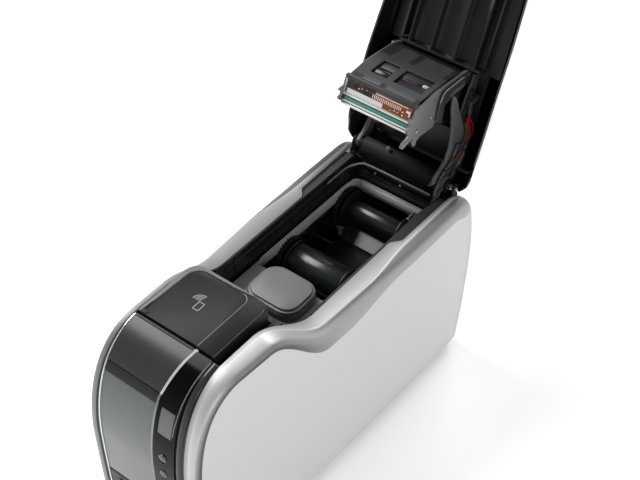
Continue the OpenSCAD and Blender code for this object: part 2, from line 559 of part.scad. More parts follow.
// ---------- print head, drawn closed ----------
HX0 = path_x-40; HX1 = path_x+40;
HP = [[127, 147], [121, 155], [112, 172], [105, 192], [98, 218], [96, 227], [101, 232.4], [150, 232.4], [151, 226], [151, 150], [148.5, 147]];
module head_side_plates() color([0.50, 0.51, 0.52]) opened()
  for (x = [[HX0-2.6, HX0], [HX1, HX1+2.6]]) difference() {
    xext(x[0], x[1]) polygon([[130, 147], [121, 156], [112, 172], [104.5, 192], [95.5, 222], [96, 231], [101, 234],
      [152, 234], [152, 158], [151.6, 146], [149.6, 137.4], [145.4, 135.6], [144.6, 139.4], [140, 139.4], [139.2, 134.6], [136.2, 135.6], [134.4, 147]]);
    xcyl(-80, 80, 102, 226, 2.5);
    xcyl(-80, 80, 124, 206, 7);
    xcyl(-80, 80, 140, 178, 5);
  }
module head_carrier() color([0.42, 0.43, 0.44]) opened() {
  box(HX0, HX1, 100, 150, 229.6, 232.4);
  box(HX0, HX1, 148, 151, 190, 229.6);
  xext(HX0, HX1) polygon([[98, 218], [100.6, 218], [107.6, 193], [105, 192]]);
  xext(HX0, HX1) polygon([[105, 192], [107.6, 193], [114.4, 173], [112, 172]]);
  box(HX0, HX1, 98, 101, 218, 229.6);
  // trunnions in the lugs of the cover liner
  xcyl(HX0-6.4, HX0, 102, 226, 2.5);
  xcyl(HX1, HX1+7.6, 102, 226, 2.5);
}
module head_heat_sink() color([0.72, 0.73, 0.75]) opened() {
  box(HX0+2, HX1-2, 125.4, 150.6, 144.4, 150);
  for (i = [0:fin_count-1]) {
    x = lerp(HX0+3, HX1-5, i/(fin_count-1));
    xext(x, x+2) polygon([[127, 149.9], [122, 158], [117, 172], [118, 196], [147, 196], [147, 150]]);
  }
  box(HX0+2, HX1-2, 136, 147.8, 196, 229.6);
}
module head_ceramic() color([0.85, 0.88, 0.86]) opened() {
  box(path_x-37, path_x+37, 135, 148, 142.6, 144.4);
  xcyl(path_x-35, path_x+35, 147.4, 142.9, 1.4);
}
module head_flex_circuit() color([0.55, 0.33, 0.12]) opened()
  xext(path_x-31, path_x+31) polygon([[134.6, 143.0], [134.6, 143.6], [124.6, 143.9], [120.0, 151], [111, 169.6], [103.6, 191.6],
    [97.4, 214], [96.9, 213.9], [103.1, 191.3], [110.6, 169.2], [119.6, 150.6], [124.3, 143.4]]);
module head_rods() color([0.85, 0.86, 0.87]) opened() {
  xcyl(HX0, HX1, 150.1, 154.3, 1.6);
  xcyl(HX0, HX1, 150.4, 142.8, 1.3);
}

// ---------- ribbon cartridge ----------
CX0 = -53.2; CX1 = 49;
module cart_plan(i, c) {
  polygon([[CX0+i, -14+i], [CX1-i, -14+i], [CX1-i, 199-c-i], [CX1-c-i, 199-i], [CX0+5+i, 199-i], [CX0+i, 194-i]]);
}
module hub_leg(x0, x1, y) {
  xext(x0, x1) polygon([[y-13, 178], [y-9, 158], [y-5, 151], [y+5, 151], [y+9, 158], [y+13, 178]]);
}
module cartridge_frame() color([0.55, 0.57, 0.57]) difference() {
  union() {
    difference() {
      translate([0, 0, 176]) linear_extrude(10) cart_plan(0, 9);
      translate([0, 0, 175]) linear_extrude(12) polygon([[CX0+3, 34], [CX1-7, 34], [CX1-7, 186], [CX1-15, 194], [CX0+12, 194], [CX0+10.6, 195.2], [CX0+3, 195.2]]);
      translate([0, 0, 175]) linear_extrude(8.4) polygon([[CX0+3, -11], [CX1-7, -11], [CX1-7, 31], [CX0+3, 31]]);
    }
    for (y = [supply_y, takeup_y]) { hub_leg(CX0, CX0+3, y); hub_leg(CX1-7, CX1-3, y); }
  }
  for (y = [supply_y, takeup_y]) xcyl(-80, 80, y, spool_z, 4+fit);
}
module cartridge_handle() color([0.58, 0.60, 0.60]) {
  translate([0, 0, 186]) linear_extrude(9) rrect(-33, 29, -13, 38, 17);
  translate([0, 0, 195]) linear_extrude(3) rrect(-32.2, 28.2, -12.2, 37.2, 16.4);
  translate([0, 0, 198]) linear_extrude(2.4) rrect(-29.6, 25.6, -9.6, 34.6, 14);
}
module ribbon_film() color([0.12, 0.14, 0.14])
  xext(path_x-31, path_x+31) polygon([[supply_y+1, 143.5], [134, 140.1], [153, 140.1], [takeup_y-2, 150.4],
    [takeup_y-2, 150.0], [153, 139.7], [134, 139.7], [supply_y+1, 143.1]]);
module spool(y) {
  xcyl(path_x-31, path_x+31, y, spool_z, 9);
  xcyl(CX0+0.4, path_x-31, y, spool_z, 4);
  xcyl(path_x+31, CX1-3.4, y, spool_z, 4);
  for (x = [path_x-34, path_x+32.4]) xcyl(x, x+1.6, y, spool_z, 21);
  xcyl(-49.8, -45.4, y, spool_z, 8);
  translate([-49.8, y, spool_z]) rotate([90, 0, 90]) linear_extrude(4.4)
    difference() { gear2(teeth_s, -90); circle(r = 4, $fn = 40); }
}
module supply_core() color([0.06, 0.06, 0.065]) spool(supply_y);
module takeup_core() color([0.06, 0.06, 0.065]) spool(takeup_y);
module wound(y, r) difference() {
  xcyl(path_x-30.8, path_x+30.8, y, spool_z, r);
  xcyl(path_x-40, path_x+40, y, spool_z, 9);
}
module supply_roll() color([0.10, 0.11, 0.11]) wound(supply_y, supply_r);
module takeup_roll() color([0.10, 0.11, 0.11]) wound(takeup_y, takeup_r);
module drive_gear(y) difference() {
  union() {
    translate([-49.8, y, gear_z]) rotate([90, 0, 90]) linear_extrude(4.4) gear2(teeth_d, 90+180/teeth_d);
    xcyl(-56.6, -49.8, y, gear_z, 6);
  }
  xcyl(-60, -40, y, gear_z, 2.5+fit);
}
module supply_gear() color([0.75, 0.75, 0.72]) drive_gear(supply_y);
module takeup_gear() color([0.75, 0.75, 0.72]) drive_gear(takeup_y);

base_tray();
rubber_feet();
right_side_shell();
left_side_shell();
rear_panel();
front_panel();
feeder_cover();
trim_strips();
display_column();
display_screen();
front_window();
door_pin();
left_chassis_plate();
right_chassis_plate();
bay_front_wall();
bay_rear_block();
roller_platform();
bay_cowls();
card_guides();
card_hopper();
output_tray();
hinge_pins();
drive_motor();
drive_belt();
main_board();
power_inlet();
data_ports();
chassis_screws();
cover_shell();
cover_liner();
right_hinge_arm();
left_hinge_arm();
head_cable();
cover_lock_slide();
head_carrier();
head_side_plates();
head_ceramic();
head_heat_sink();
head_flex_circuit();
head_rods();
cartridge_frame();
cartridge_handle();
ribbon_film();
supply_core();
supply_roll();
takeup_core();
takeup_roll();
supply_gear();
takeup_gear();
platen_shaft();
platen_rubber();
feed_roller();
transport_roller();
cleaning_roller();
motor_pulley();
feeder_door();
card_pusher();
power_button();
menu_key();
select_key();
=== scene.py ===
"""Desktop card printer with its top cover open. Lengths below are in millimetres unless said otherwise."""
import bpy
import math
from mathutils import Matrix, Vector


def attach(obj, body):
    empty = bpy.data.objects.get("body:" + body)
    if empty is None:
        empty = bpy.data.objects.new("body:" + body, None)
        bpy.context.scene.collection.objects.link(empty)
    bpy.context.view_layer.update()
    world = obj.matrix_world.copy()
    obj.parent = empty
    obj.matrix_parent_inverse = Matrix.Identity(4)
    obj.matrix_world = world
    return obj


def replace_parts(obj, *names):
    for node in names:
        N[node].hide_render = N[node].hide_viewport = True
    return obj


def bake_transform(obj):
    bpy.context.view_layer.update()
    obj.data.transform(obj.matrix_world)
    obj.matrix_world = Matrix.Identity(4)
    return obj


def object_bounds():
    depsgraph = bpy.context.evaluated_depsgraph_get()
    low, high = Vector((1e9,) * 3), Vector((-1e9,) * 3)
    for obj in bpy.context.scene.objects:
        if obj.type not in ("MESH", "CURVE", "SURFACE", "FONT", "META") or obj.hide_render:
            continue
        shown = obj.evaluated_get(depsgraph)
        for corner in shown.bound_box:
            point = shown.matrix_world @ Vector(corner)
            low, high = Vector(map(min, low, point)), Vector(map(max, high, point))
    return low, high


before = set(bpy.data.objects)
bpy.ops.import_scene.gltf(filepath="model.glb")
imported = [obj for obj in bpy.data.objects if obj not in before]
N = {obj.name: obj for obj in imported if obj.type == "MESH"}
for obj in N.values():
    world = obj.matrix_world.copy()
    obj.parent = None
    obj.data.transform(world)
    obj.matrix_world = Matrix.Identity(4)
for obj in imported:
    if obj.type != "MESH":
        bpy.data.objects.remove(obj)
CAD_LO, CAD_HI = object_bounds()
scene = bpy.context.scene

# ------------------------------------------------------------------ camera
cam_data = bpy.data.cameras.new("camera")
cam_data.sensor_width = 36.0
cam_data.lens = 73.1
cam_data.clip_start = 0.05
cam_data.clip_end = 20.0
cam = bpy.data.objects.new("camera", cam_data)
scene.collection.objects.link(cam)
cam.location = (0.5591, -0.6457, 1.0983)
cam.rotation_euler = (math.radians(46), 0, math.radians(38))
scene.camera = cam


# ------------------------------------------------------------------ materials
def mat(name, col, rough=0.5, metal=0.0, spec=0.5, coat=0.0, coat_rough=0.1, trans=0.0, ior=None, aniso=0.0,
        bump=None, vary=None, rough_vary=None, streak=None):
    m = bpy.data.materials.new(name)
    m.use_nodes = True
    nt = m.node_tree
    b = nt.nodes["Principled BSDF"]
    b.inputs["Base Color"].default_value = (*col, 1.0)
    b.inputs["Roughness"].default_value = rough
    b.inputs["Metallic"].default_value = metal
    b.inputs["Specular IOR Level"].default_value = spec
    b.inputs["Coat Weight"].default_value = coat
    b.inputs["Coat Roughness"].default_value = coat_rough
    b.inputs["Transmission Weight"].default_value = trans
    b.inputs["Anisotropic"].default_value = aniso
    if ior:
        b.inputs["IOR"].default_value = ior
    tc = None
    if bump or vary or rough_vary or streak:
        tc = nt.nodes.new("ShaderNodeTexCoord")
    if vary:      # (scale, amount): soft cloudy change of tone
        n = nt.nodes.new("ShaderNodeTexNoise")
        n.inputs["Scale"].default_value = vary[0]
        n.inputs["Detail"].default_value = 3.0
        nt.links.new(tc.outputs["Object"], n.inputs["Vector"])
        r = nt.nodes.new("ShaderNodeValToRGB")
        a = vary[1]
        r.color_ramp.elements[0].position = 0.3
        r.color_ramp.elements[1].position = 0.7
        r.color_ramp.elements[0].color = (*[max(0, c * (1 - a)) for c in col], 1)
        r.color_ramp.elements[1].color = (*[min(1, c * (1 + a)) for c in col], 1)
        nt.links.new(n.outputs["Fac"], r.inputs["Fac"])
        nt.links.new(r.outputs["Color"], b.inputs["Base Color"])
    if rough_vary:   # (scale, low, high)
        n = nt.nodes.new("ShaderNodeTexNoise")
        n.inputs["Scale"].default_value = rough_vary[0]
        n.inputs["Detail"].default_value = 4.0
        nt.links.new(tc.outputs["Object"], n.inputs["Vector"])
        r = nt.nodes.new("ShaderNodeMapRange")
        r.inputs["To Min"].default_value = rough_vary[1]
        r.inputs["To Max"].default_value = rough_vary[2]
        nt.links.new(n.outputs["Fac"], r.inputs["Value"])
        nt.links.new(r.outputs["Result"], b.inputs["Roughness"])
    if bump:      # (scale, strength, distance in mm)
        n = nt.nodes.new("ShaderNodeTexNoise")
        n.inputs["Scale"].default_value = bump[0]
        n.inputs["Detail"].default_value = 2.0
        nt.links.new(tc.outputs["Object"], n.inputs["Vector"])
        u = nt.nodes.new("ShaderNodeBump")
        u.inputs["Strength"].default_value = bump[1]
        u.inputs["Distance"].default_value = bump[2] / 1000
        nt.links.new(n.outputs["Fac"], u.inputs["Height"])
        nt.links.new(u.outputs["Normal"], b.inputs["Normal"])
    return m


M = {
    "silver": mat("silver_paint", (0.56, 0.565, 0.56), 0.36, 0.15, coat=0.15, coat_rough=0.25, bump=(900, 0.05, 0.05)),
    "rim": mat("rim_paint", (0.40, 0.41, 0.41), 0.45, 0.3, bump=(1400, 0.25, 0.06)),
    "band": mat("band_paint", (0.62, 0.625, 0.62), 0.42, 0.45),
    "black": mat("black_plastic", (0.012, 0.012, 0.013), 0.42, spec=0.45, bump=(1500, 0.15, 0.05)),
    "black_satin": mat("black_satin", (0.010, 0.010, 0.011), 0.28, spec=0.5),
    "gloss": mat("black_gloss", (0.003, 0.003, 0.0035), 0.16, spec=0.12),
    "dark": mat("dark_grey_plastic", (0.022, 0.0232, 0.0242), 0.36, spec=0.5, bump=(1600, 0.2, 0.05)),
    "dark_smooth": mat("dark_grey_smooth", (0.030, 0.032, 0.035), 0.24, spec=0.5),
    "mid": mat("mid_grey_plastic", (0.17, 0.175, 0.18), 0.42, bump=(1500, 0.15, 0.05)),
    "light": mat("light_grey_plastic", (0.37, 0.382, 0.385), 0.44, bump=(1400, 0.15, 0.05)),
    "pad": mat("pad_grey_plastic", (0.175, 0.180, 0.182), 0.42, bump=(1400, 0.15, 0.05)),
    "trim": mat("bright_trim", (0.78, 0.79, 0.80), 0.24, 0.85),
    "steel": mat("steel", (0.56, 0.57, 0.58), 0.28, 1.0),
    "steel_dark": mat("steel_dark", (0.24, 0.245, 0.25), 0.34, 1.0),
    "zinc": mat("zinc", (0.50, 0.51, 0.52), 0.36, 1.0, vary=(60, 0.12)),
    "alu": mat("aluminium", (0.64, 0.65, 0.66), 0.34, 1.0),
    "rubber": mat("black_rubber", (0.012, 0.012, 0.012), 0.68, spec=0.3, bump=(700, 0.3, 0.1)),
    "blue": mat("blue_rubber", (0.10, 0.20, 0.34), 0.5, bump=(700, 0.2, 0.1)),
    "white_gear": mat("white_gear", (0.62, 0.62, 0.58), 0.5),
    "smoke": mat("smoked_panel", (0.012, 0.013, 0.015), 0.08, coat=0.8, coat_rough=0.03),
    "screen": mat("screen", (0.10, 0.11, 0.115), 0.12, coat=0.6, coat_rough=0.04),
    "pcb": mat("circuit_green", (0.02, 0.12, 0.05), 0.4, vary=(120, 0.3)),
    "ceramic": mat("ceramic", (0.60, 0.68, 0.65), 0.25),
    "teal": mat("teal_glaze", (0.020, 0.25, 0.18), 0.12, coat=0.6, coat_rough=0.05),
    "amber": mat("amber_film", (0.20, 0.046, 0.007), 0.22, coat=0.4, coat_rough=0.1, vary=(90, 0.25)),
    "gold": mat("gold_contacts", (0.80, 0.55, 0.22), 0.25, 1.0),
    "comb": mat("comb_contacts", (0.78, 0.68, 0.56), 0.45, 0.0),
    "white": mat("white_parts", (0.72, 0.72, 0.70), 0.45),
    "label": mat("white_label", (0.66, 0.66, 0.64), 0.55),
    "ribbon": mat("ribbon_film", (0.014, 0.018, 0.018), 0.24, coat=0.12, coat_rough=0.15, vary=(25, 0.35)),
    "red": mat("wire_red", (0.26, 0.012, 0.010), 0.35),
    "yellow": mat("wire_yellow", (0.42, 0.24, 0.03), 0.35),
    "wire_black": mat("wire_black", (0.015, 0.015, 0.016), 0.4),
    "purple": mat("wire_purple", (0.16, 0.06, 0.16), 0.4),
    "door": mat("door_satin", (0.040, 0.0425, 0.039), 0.33, spec=0.4),
    "border": mat("border_grey", (0.17, 0.175, 0.175), 0.36, bump=(1500, 0.15, 0.05)),
    "window": mat("smoked_window", (0.11, 0.125, 0.125), 0.12, coat=0.4, coat_rough=0.05),
    "trim_dim": mat("dim_trim", (0.30, 0.305, 0.31), 0.22, 0.8),
    "beam": mat("beam_grey", (0.040, 0.042, 0.044), 0.42, bump=(1500, 0.15, 0.05)),
    "plate": mat("head_plate_grey", (0.20, 0.207, 0.207), 0.38, 0.45, bump=(1200, 0.1, 0.05)),
    "bar": mat("bright_bar", (0.84, 0.81, 0.80), 0.40, 0.30),
    "amber_dark": mat("board_brown", (0.030, 0.012, 0.006), 0.25, coat=0.4, coat_rough=0.1, vary=(160, 0.5)),
    "teal_dark": mat("heater_dark", (0.015, 0.11, 0.09), 0.15, coat=0.6, coat_rough=0.05),
    "white_hot": mat("bright_contacts", (0.85, 0.82, 0.74), 0.3, 0.3),
    "red_dim": mat("wire_dark_red", (0.22, 0.04, 0.035), 0.4),
    "flange": mat("flange_grey", (0.045, 0.047, 0.050), 0.34, bump=(1500, 0.2, 0.05)),
    "arm": mat("arm_grey", (0.10, 0.106, 0.106), 0.38, 0.2, bump=(1200, 0.15, 0.05)),
    "arm_dark": mat("arm_dark_grey", (0.035, 0.037, 0.038), 0.4, bump=(1200, 0.15, 0.05)),
    "wire_grey": mat("wire_grey", (0.055, 0.055, 0.054), 0.55, spec=0.35),
    "wire_brown": mat("wire_brown", (0.075, 0.045, 0.028), 0.55, spec=0.35),
    "orange": mat("wire_orange", (0.36, 0.10, 0.02), 0.35),
    "cover_gloss": mat("cover_gloss", (0.006, 0.006, 0.007), 0.14, spec=0.5),
    "edge_line": mat("edge_line", (0.20, 0.205, 0.21), 0.25, 0.3),
    "feeder": mat("feeder_grey", (0.016, 0.0175, 0.0188), 0.44, spec=0.24, bump=(1600, 0.2, 0.05)),
    "anod": mat("anodised", (0.022, 0.023, 0.024), 0.4, 0.4),
    "trim_white": mat("bright_strip", (0.80, 0.81, 0.81), 0.28, 0.35),
    "picto": mat("pictogram_grey", (0.36, 0.365, 0.36), 0.5),
    "hump": mat("hump_black", (0.005, 0.005, 0.0055), 0.60, spec=0.25, bump=(1500, 0.15, 0.05)),
    "arm_light": mat("arm_edge_grey", (0.30, 0.305, 0.305), 0.3, 0.4),
    "floor": mat("floor", (0.86, 0.86, 0.86), 0.6, spec=0.2),
}

# ------------------------------------------------------------------ helpers
mm = 0.001
HINGE = Vector((0, 212, 223))
OPEN = Matrix.Translation(HINGE) @ Matrix.Rotation(math.radians(-114), 4, "X") @ Matrix.Translation(-HINGE)


def finish_piece(ob, material, body, bevel=0.0, seg=2, angle=30, closed_cover=False):
    """Material, bevel, smooth shading by angle, and the body it rides on."""
    if closed_cover:
        s = Matrix.Diagonal((1000, 1000, 1000, 1))
        ob.data.transform(s.inverted() @ OPEN @ s)
    mats = material if isinstance(material, (list, tuple)) else [material]
    for k in mats:
        ob.data.materials.append(M[k])
    if bevel:
        b = ob.modifiers.new("bevel", "BEVEL")
        b.width = bevel * mm
        b.segments = seg
        b.limit_method = "ANGLE"
        b.angle_limit = math.radians(angle)
        b.harden_normals = False
    ob.data.shade_smooth()
    ob.data.set_sharp_from_angle(angle=math.radians(38))
    if body:
        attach(ob, body)
    return ob


def mesh_ob(name, verts, faces):
    me = bpy.data.meshes.new(name)
    me.from_pydata([[c * mm for c in v] for v in verts], [], faces)
    me.validate()
    me.update()
    ob = bpy.data.objects.new(name, me)
    scene.collection.objects.link(ob)
    return ob


def box(name, x0, x1, y0, y1, z0, z1, material, body, bevel=0.4, cc=False, seg=2):
    v = [(x, y, z) for x in (x0, x1) for y in (y0, y1) for z in (z0, z1)]
    f = [(0, 1, 3, 2), (4, 6, 7, 5), (0, 4, 5, 1), (2, 3, 7, 6), (0, 2, 6, 4), (1, 5, 7, 3)]
    return finish_piece(mesh_ob(name, v, f), material, body, bevel, seg, closed_cover=cc)


def prism(name, pts, a0, a1, axis, material, body, bevel=0.3, cc=False, seg=2, angle=30):
    """A closed outline pushed along an axis: X takes (y, z), Y takes (x, z), Z takes (x, y)."""
    n = len(pts)
    put = {"X": lambda p, a: (a, p[0], p[1]), "Y": lambda p, a: (p[0], a, p[1]), "Z": lambda p, a: (p[0], p[1], a)}[axis]
    v = [put(p, a0) for p in pts] + [put(p, a1) for p in pts]
    f = [tuple(range(n))[::-1], tuple(range(n, 2 * n))] + [(i, (i + 1) % n, n + (i + 1) % n, n + i) for i in range(n)]
    ob = mesh_ob(name, v, f)
    import bmesh
    bm = bmesh.new()
    bm.from_mesh(ob.data)
    bmesh.ops.recalc_face_normals(bm, faces=bm.faces)
    bm.to_mesh(ob.data)
    bm.free()
    return finish_piece(ob, material, body, bevel, seg, angle, closed_cover=cc)


def lathe(name, prof, p, axis, material, body, n=48, bevel=0.0, cc=False):
    """A profile of (along, radius) turned about an axis through p. The profile runs from one end to the other."""
    v, f = [], []
    m = len(prof)
    for i in range(n):
        a = 2 * math.pi * i / n
        for t, r in prof:
            q = {"X": (t, r * math.cos(a), r * math.sin(a)), "Y": (r * math.sin(a), t, r * math.cos(a)),
                 "Z": (r * math.cos(a), r * math.sin(a), t)}[axis]
            v.append((p[0] + q[0], p[1] + q[1], p[2] + q[2]))
    for i in range(n):
        j = (i + 1) % n
        for k in range(m - 1):
            f.append((i * m + k, i * m + k + 1, j * m + k + 1, j * m + k))
    if prof[0][1] > 0:
        f.append(tuple(i * m for i in range(n)))
    if prof[-1][1] > 0:
        f.append(tuple(i * m + m - 1 for i in range(n))[::-1])
    ob = mesh_ob(name, v, f)
    import bmesh
    bm = bmesh.new()
    bm.from_mesh(ob.data)
    bmesh.ops.remove_doubles(bm, verts=bm.verts, dist=1e-7)
    bmesh.ops.recalc_face_normals(bm, faces=bm.faces)
    bm.to_mesh(ob.data)
    bm.free()
    return finish_piece(ob, material, body, bevel, closed_cover=cc)


def cyl(name, axis, p, a0, a1, r, material, body, n=32, bevel=0.3, cc=False):
    return lathe(name, [(a0, r), (a1, r)], p, axis, material, body, n, bevel, cc)


def tube(name, pts, r, material, body, n=10, smooth=6, cc=False, closed_ends=True):
    """A round tube along a smooth line through pts."""
    P = [Vector(p) for p in pts]
    line = []
    for i in range(len(P) - 1):
        p0, p1, p2, p3 = P[max(0, i - 1)], P[i], P[i + 1], P[min(len(P) - 1, i + 2)]
        for k in range(smooth):
            t = k / smooth
            line.append(0.5 * ((2 * p1) + (p2 - p0) * t + (2 * p0 - 5 * p1 + 4 * p2 - p3) * t * t
                               + (3 * p1 - p0 - 3 * p2 + p3) * t ** 3))
    line.append(P[-1])
    v, f = [], []
    up = Vector((0.123, 0.456, 0.881)).normalized()
    for i, c in enumerate(line):
        d = (line[min(len(line) - 1, i + 1)] - line[max(0, i - 1)]).normalized()
        side = d.cross(up)
        if side.length < 1e-3:
            side = d.cross(Vector((1, 0, 0)))
        side.normalize()
        up = side.cross(d).normalized()
        for k in range(n):
            a = 2 * math.pi * k / n
            v.append(c + side * (r * math.cos(a)) + up * (r * math.sin(a)))
    for i in range(len(line) - 1):
        for k in range(n):
            j = (k + 1) % n
            f.append((i * n + k, i * n + j, (i + 1) * n + j, (i + 1) * n + k))
    f.append(tuple(range(n))[::-1])
    f.append(tuple(range((len(line) - 1) * n, len(line) * n)))
    return finish_piece(mesh_ob(name, v, f), material, body, 0, closed_cover=cc)


def use_painted_light_tone(m):
    """Multiplies the base colour by the mesh's tone attribute, which holds painted highlight and painted shade."""
    nt = m.node_tree
    b = nt.nodes["Principled BSDF"]
    a = nt.nodes.new("ShaderNodeAttribute")
    a.attribute_name = "tone"
    x = nt.nodes.new("ShaderNodeMix")
    x.data_type = "RGBA"
    x.blend_type = "MULTIPLY"
    x.inputs["Factor"].default_value = 1.0
    x.inputs["A"].default_value = b.inputs["Base Color"].default_value[:]
    nt.links.new(a.outputs["Color"], x.inputs["B"])
    nt.links.new(x.outputs["Result"], b.inputs["Base Color"])


# the band colour carries the painted highlight and painted shade of the shell skins; the rim takes only the left
# shell's darkening
use_painted_light_tone(M["band"])
use_painted_light_tone(M["rim"])


def node_mat(name, key, bevel=0.0, seg=2, angle=30, smooth=38):
    """Gives a CAD node its material, and rounds its sharp edges with modifiers."""
    o = N[name]
    o.data.materials.clear()
    o.data.materials.append(M[key])
    for p in o.data.polygons:
        p.material_index = 0
    if o.data.has_custom_normals:
        o.data.attributes.remove(o.data.attributes["custom_normal"])
    if bevel:
        w = o.modifiers.new("weld", "WELD")
        w.merge_threshold = 0.00001
        b = o.modifiers.new("bevel", "BEVEL")
        b.width = bevel * mm
        b.segments = seg
        b.limit_method = "ANGLE"
        b.angle_limit = math.radians(angle)
        b.use_clamp_overlap = True
    o.data.shade_smooth()
    o.data.set_sharp_from_angle(angle=math.radians(smooth))


# ------------------------------------------------------------------ CAD nodes
for name, key, bev in [
    ("base_tray", "black", 0.5), ("rubber_feet", "rubber", 0.8), ("right_side_shell", "silver", 0),
    ("left_side_shell", "silver", 0), ("rear_panel", "black", 0.5), ("front_panel", "black", 0.4),
    ("feeder_cover", "feeder", 0.5), ("trim_strips", "trim", 0.3), ("display_column", "gloss", 0.4),
    ("display_screen", "screen", 0.2), ("front_window", "smoke", 0.4), ("door_pin", "steel", 0.2),
    ("left_chassis_plate", "black", 0.4), ("right_chassis_plate", "black", 0.4), ("bay_front_wall", "black", 0.5),
    ("bay_rear_block", "hump", 0.8), ("roller_platform", "dark", 0.5), ("bay_cowls", "black", 1.2),
    ("card_guides", "dark_smooth", 0.4), ("card_hopper", "black", 0.4), ("output_tray", "black", 0.4),
    ("hinge_pins", "steel", 0.3), ("drive_motor", "steel_dark", 0.6), ("drive_belt", "rubber", 0.2),
    ("main_board", "pcb", 0.1), ("power_inlet", "black", 0.5), ("data_ports", "steel", 0.2),
    ("chassis_screws", "steel", 0.3), ("cover_shell", "gloss", 0), ("cover_liner", "black_satin", 0.5),
    ("right_hinge_arm", "mid", 0.6), ("left_hinge_arm", "arm_dark", 0.6), ("head_cable", "black", 0.4),
    ("cover_lock_slide", "dark", 0.5), ("head_carrier", "anod", 0.5), ("head_side_plates", "mid", 0.4),
    ("head_ceramic", "ceramic", 0.2), ("head_heat_sink", "anod", 0.3), ("head_flex_circuit", "amber", 0),
    ("head_rods", "steel", 0.2), ("cartridge_frame", "light", 0.8), ("cartridge_handle", "pad", 0.8),
    ("ribbon_film", "ribbon", 0), ("supply_core", "black", 0.2), ("supply_roll", "ribbon", 0.2),
    ("takeup_core", "black", 0.2), ("takeup_roll", "ribbon", 0.2), ("supply_gear", "white_gear", 0.15),
    ("takeup_gear", "white_gear", 0.15), ("platen_shaft", "steel", 0.2), ("platen_rubber", "rubber", 0.4),
    ("feed_roller", "rubber", 0.3), ("transport_roller", "rubber", 0.3), ("cleaning_roller", "blue", 0.3),
    ("motor_pulley", "steel", 0.2), ("feeder_door", "dark", 0.4), ("card_pusher", "mid", 0.4),
    ("power_button", "mid", 0.4), ("menu_key", "dark_smooth", 0.4), ("select_key", "dark_smooth", 0.4),
]:
    node_mat(name, key, bev)

# ------------------------------------------------------------------ curved skins
def sstep(t):
    u = max(0.0, min(1.0, t))
    return u * u * (3 - 2 * u)


def lerp(a, b, t):
    return a + (b - a) * t


def hw(y):
    return 80 - 14 * (max(0, 150 - y) / 340) ** 1.5


def scurve(y):
    return sstep((-10 - y) / 80)


def rim_z(y):
    return 220 + 37 * scurve(y)


def rim_x(y):
    c = scurve(y)
    return (1 - c) * (hw(y) - 6 - 7.5 * sstep((y - 50) / 70)) + c * 55


def cover_x(y):
    c = scurve(y)
    return (1 - c) * (hw(y) - 2.8) + c * 55


def rim_in(y):
    c = scurve(y)
    r = 54.4 if y < 108 else 54.4 + 8.2 * sstep((y - 108) / 14) + max(0, y - 122) * 0.9 / 78
    return (1 - c) * r + c * 50.5


def band_w(y):
    return 10 + 21 * (1 - scurve(y)) - 13.5 * sstep((y - 15) / 80)


def fc(s):
    if s < 0:
        return (-192 + 4 * s * s, 150 + 138 * s)
    B = ((-192, 150), (-190, 215), (-168, 254), (-130, 257))
    w = ((1 - s) ** 3, 3 * s * (1 - s) ** 2, 3 * s * s * (1 - s), s ** 3)
    return (sum(w[i] * B[i][0] for i in range(4)), sum(w[i] * B[i][1] for i in range(4)))


def fin(s):
    a, b = fc(max(-1, s - 0.005)), fc(min(1, s + 0.005))
    d = math.hypot(b[0] - a[0], b[1] - a[1])
    return ((b[1] - a[1]) / d, -(b[0] - a[0]) / d)


def fo(s, d):
    p, n = fc(s), fin(s)
    return (p[0] + n[0] * d, p[1] + n[1] * d)


def crom(pts, k):
    """Smooth line through pts with k steps in each gap."""
    P = [Vector(p) for p in pts]
    out = []
    for i in range(len(P) - 1):
        a, b, c, d = P[max(0, i - 1)], P[i], P[i + 1], P[min(len(P) - 1, i + 2)]
        for q in range(k):
            t = q / k
            out.append(0.5 * ((2 * b) + (c - a) * t + (2 * a - 5 * b + 4 * c - d) * t * t + (3 * b - a - 3 * c + d) * t ** 3))
    out.append(P[-1])
    return out


